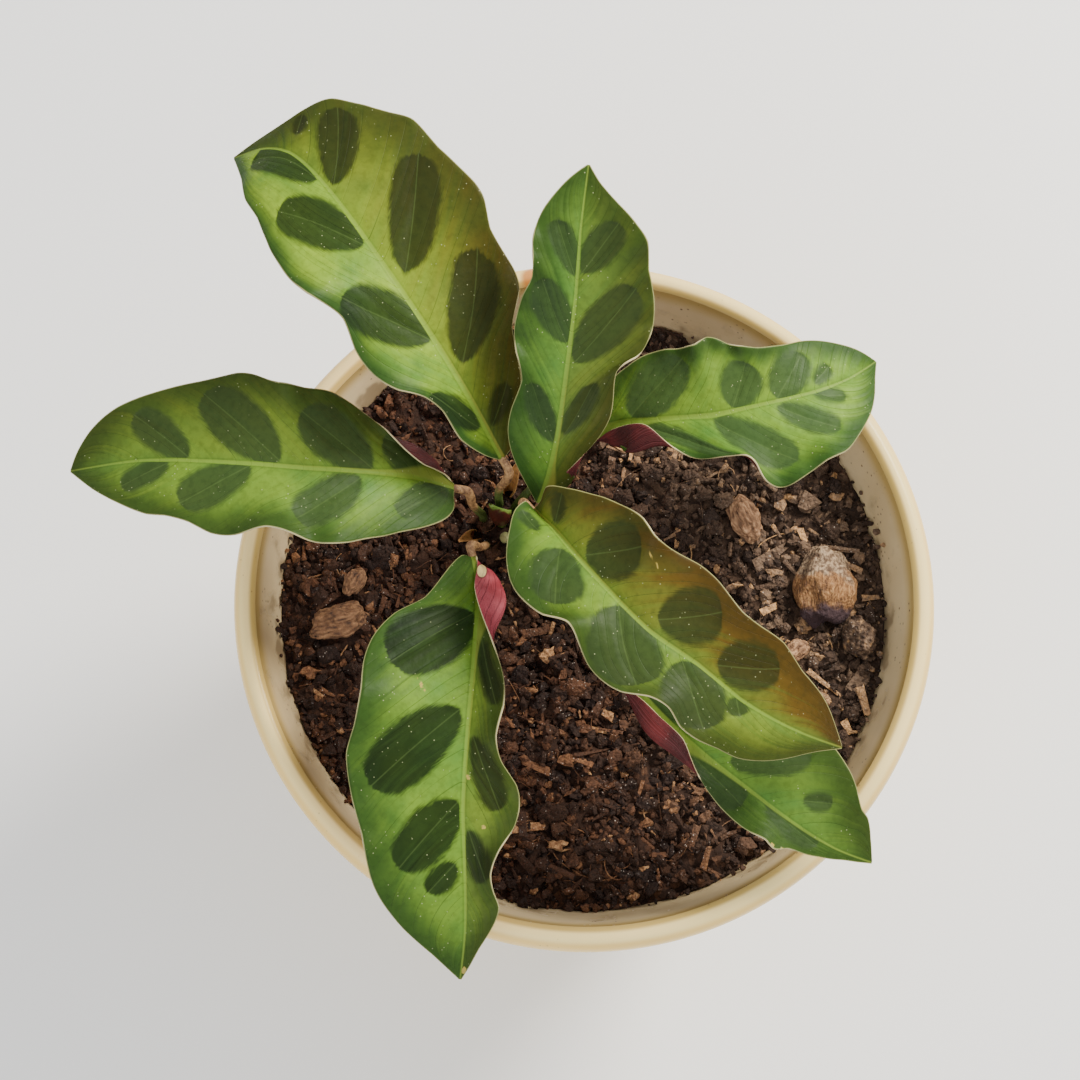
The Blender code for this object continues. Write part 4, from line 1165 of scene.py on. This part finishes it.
def fine_veins_share(f, veins, phase, from_rib, edge):
    """Where the dark side veins show: on some of them, and not next to the margin."""
    chosen = f.fade(f.noise(f.vector(phase, f.times(from_rib, 0.05)), 0.9, 1), 0.42, 0.60)
    return f.times(f.times(veins, chosen), f.fade(edge, 1.0, 7.0))


def oval_share(f, phase, from_rib, cloud):
    """1 inside a dark oval and 0 outside, with an edge that is feathered along the veins."""
    feather = f.noise(f.vector(f.times(phase, 9), f.times(from_rib, 0.45)), 1, 3)
    blotch = f.sway(f.mark("blotch"), feather, 2.4)
    return f.fade(f.sway(blotch, cloud, 3.0), -1.15, 1.0)


def oval_colour(f, along_veins, olive):
    """Nearly black green, paler on a faded leaf, with a pale vein through the middle."""
    deep = f.fade(f.noise(along_veins, 1.6, 3), 0.32, 0.72)
    dark = f.mix(deep, paint(10, 24, 9), paint(26, 44, 18))
    dark = f.mix(f.mark("faded_and_shaded"), dark, paint(58, 80, 42))
    # The olive, partly age and partly painted shade, reaches into the ovals too
    dark = f.lay(dark, paint(46, 42, 12), olive, 0.8)
    inner_vein = f.fade(f.math("ABSOLUTE", f.mark("blotch_vein")), 0.28, 0.05)
    return f.lay(dark, paint(100, 122, 66), inner_vein, 0.18)


# %% Midrib, and all of the upper side
def lay_midrib(f, colour, from_rib, olive):
    """A pale midrib that narrows towards the tip, with a painted shadow line on either side."""
    rib_half = f.minus(0.95, f.times(f.mark("along"), 0.72))
    to_rib = f.minus(from_rib, rib_half)
    # A painted shadow along either side of the midrib
    painted_rib_shadow = f.times(f.fade(to_rib, -0.1, 0.15), f.fade(to_rib, 0.75, 0.2))
    colour = f.lay(colour, paint(46, 66, 18), painted_rib_shadow, 0.25)
    # The midrib is browner where the half is olive, which is partly painted shade
    pale = f.mix(olive, paint(116, 140, 52), paint(132, 114, 44))
    return f.lay(colour, pale, f.fade(to_rib, 0.2, -0.25), 0.68)


def upper_finish():
    f = Finish("leaf_upper_side", roughness=0.4, gloss=0.07)
    where = f.place()
    phase, from_rib, edge = f.mark("phase"), f.mark("from_rib"), f.mark("edge")
    along_veins = f.vector(f.times(phase, 1.2), f.times(from_rib, 0.07), f.mark("lime"))
    streak = f.noise(along_veins, 1, 4)
    cloud = f.noise(where, 70, 3)
    # How olive each point is: partly age, partly painted shade over its half
    olive = f.times(f.mark("olive"), f.plus(0.45, f.times(streak, 0.8)))
    veins = vein_lines(f, phase, 1.0, 0.045)
    colour = leaf_green(f, cloud, streak, olive)
    colour = f.lay(colour, paint(40, 64, 16), fine_veins_share(f, veins, phase, from_rib, edge), 0.5)
    colour = f.lay(colour, oval_colour(f, along_veins, olive), oval_share(f, phase, from_rib, cloud), 0.92)
    mottle = f.fade(f.noise(where, 560, 4), 0.4, 0.72)
    colour = f.lay(colour, paint(18, 32, 12), mottle, 0.22)
    colour = lay_midrib(f, colour, from_rib, olive)
    scar = f.fade(f.mark("scar"), -0.15, 0.2)
    colour = f.lay(colour, f.mix(cloud, paint(160, 126, 62), paint(186, 172, 88)), scar, 0.85)
    specks = f.specks(where, 620, (0.14, 0.06), 140, (0.47, 0.58), 3)
    colour = f.lay(colour, paint(196, 200, 150), specks, 0.4)
    hem = f.fade(edge, 0.34, 0.12)
    colour = f.lay(colour, paint(178, 174, 116), hem, 0.5)
    normal = f.relief(f.minus(1.0, veins), 0.05)
    normal = f.relief(f.noise(where, 300, 5), 0.22, normal)
    rough = f.plus(0.32, f.times(f.noise(where, 130, 4), 0.26))
    return f.done(colour, normal, rough)


leaf_top = upper_finish()

# %% [markdown]
# The underside is wine purple with a soft sheen, and its veins stand out a little. It is painted lighter on
# leaves whose underside is lit and darker where it lies in shade, as painted light and shade. The cut edge
# between the two sides is a cream line.

# %% Underside and edge
HOLE_SQUEEZE = (1, 0.5, 0.15)  # makes the spot long and narrow
HOLE_AT = (-0.0288, 0.0006, 0.02586)  # where it is, squeezed alike


def under_finish():
    f = Finish("leaf_underside", roughness=0.5, gloss=0.2)
    where = f.place()
    phase = f.mark("phase")
    cloud = f.noise(where, 130, 4)
    # Lit and shaded copies of the purple, painted light and shade: a leaf whose underside lies in shade gets
    # the darker
    lit_purple = f.mix(f.fade(cloud, 0.3, 0.75), paint(146, 50, 58), paint(196, 92, 100))
    shaded_purple = f.mix(f.fade(cloud, 0.3, 0.75), paint(56, 18, 14), paint(98, 34, 32))
    colour = f.mix(f.fade(f.mark("faded_and_shaded"), 0.2, 0.6), lit_purple, shaded_purple)
    veins = vein_lines(f, phase, 1.0, 0.09)
    fine_veins = vein_lines(f, phase, 5.0, 0.3)
    colour = f.lay(colour, paint(74, 22, 34), veins, 0.35)
    colour = f.lay(colour, paint(172, 96, 104), fine_veins, 0.15)
    specks = f.specks(where, 420, (0.12, 0.05), 90, (0.5, 0.62))
    colour = f.lay(colour, paint(226, 200, 190), specks, 0.5)
    scar = f.fade(f.mark("scar"), -0.15, 0.2)
    colour = f.mix(scar, colour, paint(214, 196, 130))
    # Leaf g has one healed hole in its curl: a cream spot inside a dark ring
    to_hole = f.away(f.place(HOLE_SQUEEZE), HOLE_AT)
    colour = f.lay(colour, paint(72, 30, 26), f.fade(to_hole, 0.0017, 0.0014), 0.7)
    straw = f.mix(cloud, paint(206, 176, 104), paint(232, 216, 160))
    colour = f.mix(f.fade(to_hole, 0.0014, 0.0012), colour, straw)
    normal = f.relief(f.plus(veins, f.times(fine_veins, 0.3)), 0.12)
    normal = f.relief(f.noise(where, 500, 4), 0.12, normal)
    return f.done(colour, normal)


def edge_finish():
    f = Finish("leaf_edge", roughness=0.55)
    return f.done(f.mix(f.noise(f.place(), 160, 3), paint(172, 160, 108), paint(202, 186, 142)))


leaf_under, leaf_edge = under_finish(), edge_finish()

# %% Make the blades
def leaf_blade(letter, leaf):
    """The fine blade of one leaf: a shaped grid, its marks, and a live Solidify for its thickness."""
    points, marks = blade_grid(leaf, seed=ord(letter) * 0.37)
    sheet = bmesh.new()
    bmesh.ops.create_grid(sheet, x_segments=2 * BLADE_COLUMNS, y_segments=BLADE_ROWS, size=1, calc_uvs=True)
    mesh = bpy.data.meshes.new(f"calathea_blade_{letter}")
    sheet.to_mesh(mesh)
    sheet.free()
    mesh.vertices.foreach_set("co", (points * MM).ravel())
    for name, values in marks.items():
        attribute = mesh.attributes.new(name, "FLOAT", "POINT")
        attribute.data.foreach_set("value", values.ravel().astype(np.float32))
    mesh.update()
    finishes = [leaf_top, leaf_under, leaf_edge]
    blade = dress(mesh.name, mesh, finishes, f"leaf_{letter}_blade")
    thickness = blade.modifiers.new("thickness", "SOLIDIFY")
    thickness.thickness = BLADE_THICKNESS * MM
    thickness.offset = 0
    thickness.material_offset = 1
    thickness.material_offset_rim = 2


for letter, leaf in LEAVES.items():
    leaf_blade(letter, leaf)

# %% [markdown]
# ## Stalks
#
# Each leaf stands on a round stalk that goes on under the blade as its rib. The lower part is green, the
# last stretch below the blade is a tan, slightly thicker and hairy joint, and the rib is pale. A stalk is
# one tube: a strip of grid rolled up along a curve and welded along its seam, with both ends closed.

# %% Tubes
def tube(line, radii, sides, marks=()):
    """A closed tube along a line of points, as a bmesh with its marks: (name, value at each point) pairs."""
    shape = bmesh.new()
    layers = [(shape.verts.layers.float.new(name), values) for name, values in marks]
    bmesh.ops.create_grid(shape, x_segments=sides, y_segments=len(line) - 1, size=1)
    shape.verts.ensure_lookup_table()
    ahead_at = np.gradient(line, axis=0)
    side = Vector((1, 0.2, 0))
    for row, (point, radius) in enumerate(zip(line, radii)):
        forward = Vector(ahead_at[row]).normalized()
        side = (side - forward * side.dot(forward)).normalized()
        other = forward.cross(side)
        for i in range(sides + 1):
            angle = math.tau * i / sides
            vert = shape.verts[row * (sides + 1) + i]
            vert.co = Vector(point) + (math.cos(angle) * side + math.sin(angle) * other) * radius
            for layer, values in layers:
                vert[layer] = values[row]
    bmesh.ops.remove_doubles(shape, verts=shape.verts, dist=0.001)
    bmesh.ops.holes_fill(shape, edges=[edge for edge in shape.edges if edge.is_boundary], sides=sides)
    bmesh.ops.recalc_face_normals(shape, faces=shape.faces)
    return shape


# %% Stalk finish
def stalk_finish():
    f = Finish("leaf_stalk", roughness=0.5)
    where = f.place()
    joint, rib = f.mark("joint"), f.mark("rib")
    cloud = f.noise(where, 260, 4)
    colour = f.mix(cloud, paint(52, 74, 24), paint(84, 98, 40))
    joint = f.fade(f.sway(joint, cloud, 0.8), 0.1, 0.9)
    hairy = f.mix(f.fade(f.noise(where, 700, 4), 0.3, 0.7), paint(98, 66, 40), paint(172, 132, 86))
    colour = f.mix(joint, colour, hairy)
    colour = f.mix(rib, colour, paint(150, 120, 92))
    hairs = f.noise(f.place((1, 1, 0.3)), 2200, 4)
    normal = f.relief(hairs, 0.7)
    return f.done(colour, normal)


green_stalk = stalk_finish()

# %% Stalks
ROOT_DEPTH = 12
STALK_RADIUS = 1.35
STALK_NECK_RADIUS = 1.05
STALK_POINTS = 60
MIDRIB_POINTS = 81
NECK_BELOW = 0.9  # how far below the midrib's start the stalk ends
JOINT_FADE = 9  # the stretch over which the green turns into the tan of the joint
JOINT_SWELL = 0.25
STALK_SIDES = 14
APPROACH = 5  # how far before the blade the stalk already points along the midrib
RIB_END = 0.9  # how far along the blade the rib shows
RIB_RADIUS = 1.0  # where it starts, under the base of the blade
RIB_TIP_RADIUS = 0.25
RIB_SINK = 0.25  # share of its radius by which the rib sits in the blade


def stalk(letter, leaf):
    """One tube from the roots up to the blade, which goes on under the blade as its rib."""
    midrib = smooth_line(leaf["midrib"], MIDRIB_POINTS)
    ahead = np.gradient(midrib, axis=0)
    ahead /= np.linalg.norm(ahead, axis=1)[:, None]
    foot = leaf["foot"]
    reach = [(*foot, SOIL_LEVEL - ROOT_DEPTH), (*foot, SOIL_LEVEL), *leaf["stalk"],
             midrib[0] - APPROACH * ahead[0], midrib[0] - (0, 0, NECK_BELOW)]
    lower = smooth_line(reach, STALK_POINTS)
    ribbed = slice(1, int(MIDRIB_POINTS * RIB_END))
    under, ahead = midrib[ribbed], ahead[ribbed]
    share = np.linspace(0, 1, len(under))
    rib_radius = RIB_RADIUS - (RIB_RADIUS - RIB_TIP_RADIUS) * share
    # Straight down would run into a steep blade, so the rib moves at right angles to the midrib
    below = ahead * ahead[:, 2:] - (0, 0, 1)
    below /= np.linalg.norm(below, axis=1)[:, None]
    depth = rib_radius * (1 - RIB_SINK) + 0.35 + GROOVE * (1 - 0.6 * share)
    under = under + below * depth[:, None]
    line = np.vstack([lower, under[2:]])
    steps = np.linalg.norm(np.diff(lower, axis=0), axis=1)
    to_blade = np.append(steps[::-1].cumsum()[::-1], 0)
    joint = np.clip((leaf["joint"] - to_blade) / JOINT_FADE, 0, 1)
    swell = JOINT_SWELL * joint * np.sin(math.pi * np.clip(to_blade / 12, 0, 1))
    radii = np.linspace(STALK_RADIUS, STALK_NECK_RADIUS, STALK_POINTS) + swell
    radii = np.concatenate([radii, rib_radius[2:]])
    joint = np.concatenate([joint, np.clip(1 - share[2:] * 12, 0, 1)])
    rib = np.concatenate([np.zeros(STALK_POINTS), np.clip(share[2:] * 12, 0, 1)])
    shape = tube(line, radii, STALK_SIDES, [("joint", joint), ("rib", rib)])
    write_piece(f"calathea_stalk_{letter}", shape, [green_stalk], f"leaf_{letter}_stalk")


for letter, leaf in LEAVES.items():
    stalk(letter, leaf)

# %% [markdown]
# ## The crown
#
# Between the stalks stand the small things that make a plant look grown: a young leaf that is still half
# rolled, a pale bud, and two dry sheaths of old leaves. The young leaf and the sheaths are curled sheets:
# a grid whose rows bend round the line that they follow. The bud is a short tube that swells and closes.

# %% Curled sheets
SHEET_ROWS = 48
SHEET_COLUMNS = 28
SPIRAL = 0.10  # how much wider one edge of a sheet curls than the other, so that they pass


def at_even_steps(values, share):
    """Values given at even steps along a line, read off at each share of its length."""
    return np.interp(share, np.linspace(0, 1, len(values)), values)


def curled_sheet(facts):
    """A sheet bent round a line. Its radius and the angle it covers change along the line."""
    rows, columns = SHEET_ROWS, SHEET_COLUMNS
    path = smooth_line(facts["line"], rows + 1)
    share = np.linspace(0, 1, rows + 1)
    radius = at_even_steps(facts["radii"], share)
    covers = np.radians(at_even_steps(facts["covers"], share))
    sheet = bmesh.new()
    along = sheet.verts.layers.float.new("along")
    from_middle = sheet.verts.layers.float.new("across")
    bmesh.ops.create_grid(sheet, x_segments=columns, y_segments=rows, size=1)
    sheet.verts.ensure_lookup_table()
    ahead_at = np.gradient(path, axis=0)
    for row in range(rows + 1):
        forward = Vector(ahead_at[row]).normalized()
        side = Vector((1, 0, 0))
        side = (side - forward * side.dot(forward)).normalized()
        other = forward.cross(side)
        for i in range(columns + 1):
            angle = math.radians(facts["turn"]) + covers[row] * (i / columns - 0.5)
            spiral = radius[row] * (1 + SPIRAL * (i / columns - 0.5))
            vert = sheet.verts[row * (columns + 1) + i]
            vert.co = Vector(path[row]) + (math.cos(angle) * side + math.sin(angle) * other) * spiral
            vert[along] = share[row]
            vert[from_middle] = abs(2 * i / columns - 1)
    return sheet


def sheet_piece(name, facts, finishes, node):
    """A curled sheet as a piece, with a live Solidify for its thickness."""
    piece = write_piece(name, curled_sheet(facts), finishes, node)
    thickness = piece.modifiers.new("thickness", "SOLIDIFY")
    thickness.thickness = facts["thickness"] * MM
    thickness.offset = 0
    thickness.material_offset = len(finishes) - 1


# %% Finishes of the crown
def young_finish():
    """A young leaf is rolled with its purple underside outwards. Only its margin and foot are green."""
    f = Finish("young_leaf_outside", roughness=0.42, gloss=0.3)
    where = f.place()
    green = f.mix(f.noise(where, 330, 3), paint(60, 92, 28), paint(112, 130, 56))
    purple = f.mix(f.noise(f.place((1, 1, 0.2)), 500, 3), paint(44, 16, 11), paint(76, 32, 20))
    wander = f.swing(f.noise(where, 420, 3), 0.3)
    margin = f.math("MAXIMUM", f.fade(f.plus(f.mark("across"), wander), 0.74, 0.9),
                    f.fade(f.plus(f.mark("along"), wander), 0.9, 0.98))
    stem = f.fade(f.mark("along"), 0.62, 0.5)
    colour = f.mix(f.math("MAXIMUM", margin, stem), purple, green)
    return f.done(colour, f.relief(f.noise(f.place((1, 1, 0.15)), 1400, 3), 0.2))


def young_inside_finish():
    f = Finish("young_leaf_inside", roughness=0.5, gloss=0.3)
    colour = f.mix(f.noise(f.place((1, 1, 0.2)), 500, 3), paint(48, 70, 24), paint(86, 104, 44))
    return f.done(colour, f.relief(f.noise(f.place((1, 1, 0.15)), 1400, 3), 0.2))


def dry_finish():
    f = Finish("dry_sheath", roughness=0.75)
    lengthwise = f.noise(f.place((1, 1, 0.06)), 1500, 4)
    colour = f.mix(lengthwise, paint(178, 120, 62), paint(228, 172, 104))
    colour = f.mix(f.fade(f.noise(f.place(), 300, 3), 0.5, 0.85), colour, paint(112, 68, 36))
    return f.done(colour, f.relief(lengthwise, 0.4))


def bud_finish():
    f = Finish("pale_bud", roughness=0.42)
    colour = f.mix(f.noise(f.place((1, 1, 0.3)), 500, 3), paint(128, 134, 70), paint(206, 200, 146))
    return f.done(colour, f.relief(f.noise(f.place((1, 1, 0.2)), 1500, 3), 0.15))


dry = dry_finish()
young = [young_finish(), young_inside_finish()]
pale = bud_finish()

# %% Young leaf, bud and dry sheaths
# Radii and covered angles go at even steps from the root to the tip. Each line starts inside the mix
YOUNG_LEAF = {
    "line": [(-23.8, 25.0, 121), (-23.8, 25.0, 131), (-24.1, 23.5, 146), (-24.7, 23.3, 155),
             (-26.6, 23.6, 159.5)],
    "radii": [1.0, 1.1, 1.6, 2.6, 3.1, 0.5], "covers": [350, 350, 340, 300, 230, 150], "turn": 250,
    "thickness": 0.4,
}
LONG_SHEATH = {
    "line": [(-21.8, 33.9, 121), (-21.8, 33.9, 131), (-20.6, 34.4, 146), (-18.9, 35.5, 160)],
    "radii": [0.9, 1.2, 1.8, 1.7, 1.2, 0.3], "covers": [330, 300, 240, 190, 170, 120], "turn": 60,
    "thickness": 0.3,
}
SHORT_SHEATH = {
    "line": [(-31.5, 21.3, 121), (-31.5, 21.3, 131), (-33.5, 18.8, 140), (-35.7, 15.8, 147)],
    "radii": [0.9, 1.2, 1.6, 1.5, 1.0, 0.3], "covers": [330, 290, 230, 190, 170, 120], "turn": 200,
    "thickness": 0.3,
}
BUD_LINE = [(-23.0, 20.3, 121), (-23.0, 20.3, 131), (-22.7, 18.9, 138), (-22.1, 16.8, 146)]
BUD_SWELL = ([0, 0.4, 0.7, 0.85, 1], [1.1, 1.3, 1.65, 1.3, 0.25])  # share of its length, radius
BUD_POINTS = 30

sheet_piece("young_leaf_roll", YOUNG_LEAF, young, "new_leaf")
bud_radii = np.interp(np.linspace(0, 1, BUD_POINTS), *BUD_SWELL)
bud = tube(smooth_line(BUD_LINE, BUD_POINTS), bud_radii, 16)
write_piece("bud_tip", bud, [pale], "bud")
sheet_piece("long_dry_sheath", LONG_SHEATH, [dry], "dry_sheath_long")
sheet_piece("short_dry_sheath", SHORT_SHEATH, [dry], "dry_sheath_short")

# %% [markdown]
# ## Larger pieces on the mix
#
# A thick piece of coconut husk, a clod of mix and a few bark chips lie on top. In the solid model each is a
# rough lump with a level underside. The fine version starts from the same lump with many more faces, and
# its own grain is pushed into it: long fibres for husk, layers for bark, round crumbs for the clod.

# %% Lumps
LUMP_ROUGHNESS = 0.28
LUMP_UNDERSIDE = -0.25  # the height at which the ball is levelled off, for a radius of 1


def lump(spec, grain, detail=6):
    """The solid model's lump with more faces. grain gives an outward push in mm for a point on it."""
    length, width, height = spec["size"]
    shape = bmesh.new()
    marks = shape.verts.layers.float.new("shade")
    bmesh.ops.create_icosphere(shape, subdivisions=detail, radius=1)
    seed = Vector(spec["at"]).to_3d()
    for vert in shape.verts:
        vert.co *= 1 + LUMP_ROUGHNESS * noise.noise(vert.co * 1.7 + seed)
        vert.co.z = max(vert.co.z, LUMP_UNDERSIDE)
    low = min(v.co.z for v in shape.verts)
    high = max(v.co.z for v in shape.verts)
    for vert in shape.verts:
        vert.co.z = (vert.co.z - low) / (high - low)
    bmesh.ops.scale(shape, vec=(length / 2, width / 2, height), verts=shape.verts)
    shape.normal_update()
    pushes = [(vert, vert.normal.copy(), *grain(vert.co.copy())) for vert in shape.verts]
    for vert, normal, push, shade in pushes:
        vert.co += normal * push * min(1, vert.co.z / 1.5)
        vert[marks] = shade
    turned_by = Matrix.Rotation(math.radians(spec["turn"]), 3, "Z")
    bmesh.ops.rotate(shape, cent=(0, 0, 0), matrix=turned_by, verts=shape.verts)
    bmesh.ops.translate(shape, vec=(*spec["at"], SOIL_LEVEL + SOIL_GAP), verts=shape.verts)
    return shape


def husk_grain(p):
    """Long fibres and pits, as a push in mm and a shade."""
    fibres = noise.noise(Vector((p.x * 0.4, p.y * 4.2, p.z * 4.2)))
    pits = noise.noise(p * 0.6)
    return 0.22 * fibres + 0.4 * pits - 0.2, 0.5 + 0.5 * fibres


def bark_grain(p):
    """Thin layers with a rough surface."""
    layers = noise.noise(Vector((p.x * 0.35, p.y * 1.4, p.z * 2.6)))
    return 0.45 * layers + 0.4 * noise.noise(p * 1.1) - 0.2, 0.5 + 0.5 * layers


def clod_grain(p):
    """Round crumbs pressed together."""
    near, next_near = noise.voronoi(p / 1.6)[0][:2]
    return 0.9 * (next_near - near) ** 0.7 + 0.6 * noise.noise(p * 0.4) - 0.5, near


# %% Finishes of husk and bark
def husk_finish():
    f = Finish("coconut_husk", roughness=0.85)
    where = f.place()
    strands = f.noise(f.place((1, 0.12, 1)), 1500, 4)
    shade = f.sway(f.mark("shade"), strands, 1.1)
    fibre = f.ramp(shade, [(0.2, paint(82, 52, 28)), (0.5, paint(134, 92, 52)), (0.8, paint(168, 126, 80))])
    y, = f.axes(where, "Y")
    ragged = f.swing(f.noise(where, 260, 4), 0.009)
    burnt = f.fade(f.plus(y, ragged), 0.0005, -0.0025)
    colour = f.mix(burnt, fibre, paint(58, 38, 40))
    crust = f.fade(f.plus(y, f.times(ragged, 2.6)), 0.0045, 0.0110)
    crumbly = f.fade(f.noise(where, 850, 5), 0.38, 0.62)
    colour = f.lay(colour, f.mix(crumbly, paint(84, 66, 52), paint(170, 146, 116)), crust, 0.85)
    return f.done(colour, f.relief(strands, 0.7, f.relief(f.noise(where, 900, 5), 0.7)))


def bark_finish():
    f = Finish("bark", roughness=0.85)
    where = f.place()
    shade = f.sway(f.mark("shade"), f.noise(where, 600, 4), 0.8)
    x, = f.axes(where, "X")
    red = f.ramp(shade, [(0.15, paint(58, 37, 24)), (0.5, paint(112, 78, 50)), (0.85, paint(150, 112, 76))])
    tan = f.ramp(shade, [(0.15, paint(84, 58, 40)), (0.5, paint(146, 108, 76)), (0.85, paint(192, 150, 110))])
    colour = f.mix(f.fade(x, 0.0, 0.04), red, tan)
    return f.done(colour, f.relief(f.noise(where, 1300, 4), 0.6))


husk, bark = husk_finish(), bark_finish()

# %% Husk, clod and bark chips
write_piece("husk_piece", lump(RESTING["husk_chunk"], husk_grain), [husk], "husk_chunk")
write_piece("clod_of_mix", lump(RESTING["soil_clod"], clod_grain), [mix_finish], "soil_clod")
for name in ("bark_chip_left", "bark_chip_left_small", "bark_chip_right", "bark_chip_front"):
    write_piece(f"{name}_fine", lump(RESTING[name], bark_grain, 5), [bark], name)

# %% [markdown]
# ## Fibres
#
# Fine coir fibres curl over the mix. Each is a hair-thin tube along a short bent line.

# %% Fibres
FIBRES = 110
FIBRE_JOINTS = 8
FIBRE_POINTS = 14


def fibre():
    """Points of one fibre, which wanders over the mix until it meets the wall."""
    x, y = free_spot(8)
    heading = rng.uniform(0, math.tau)
    step = rng.uniform(0.9, 2.0)
    bend = rng.normal(0, 0.28)
    points = []
    for _ in range(FIBRE_JOINTS):
        height = mounds(x, y) + grains(x, y) + 0.9 + rng.uniform(0, 0.5)
        points.append((x, y, height))
        heading += bend + rng.normal(0, 0.12)
        x += step * math.cos(heading)
        y += step * math.sin(heading)
        if math.hypot(x, y) > SOIL_RIM - 1:
            break
    return points


fibres = bmesh.new()
fibres.verts.layers.float.new("shade")
for _ in range(FIBRES):
    points = fibre()
    if len(points) < 4:
        continue
    radius = rng.uniform(0.10, 0.22)
    shade = np.full(FIBRE_POINTS, rng.uniform(0.6, 1.0))
    line = smooth_line(points, FIBRE_POINTS)
    one = tube(line, np.full(FIBRE_POINTS, radius), 4, [("shade", shade)])
    mesh = bpy.data.meshes.new("fibre")
    one.to_mesh(mesh)
    one.free()
    fibres.from_mesh(mesh)
    bpy.data.meshes.remove(mesh)
write_piece("coir_fibres", fibres, [mix_finish])
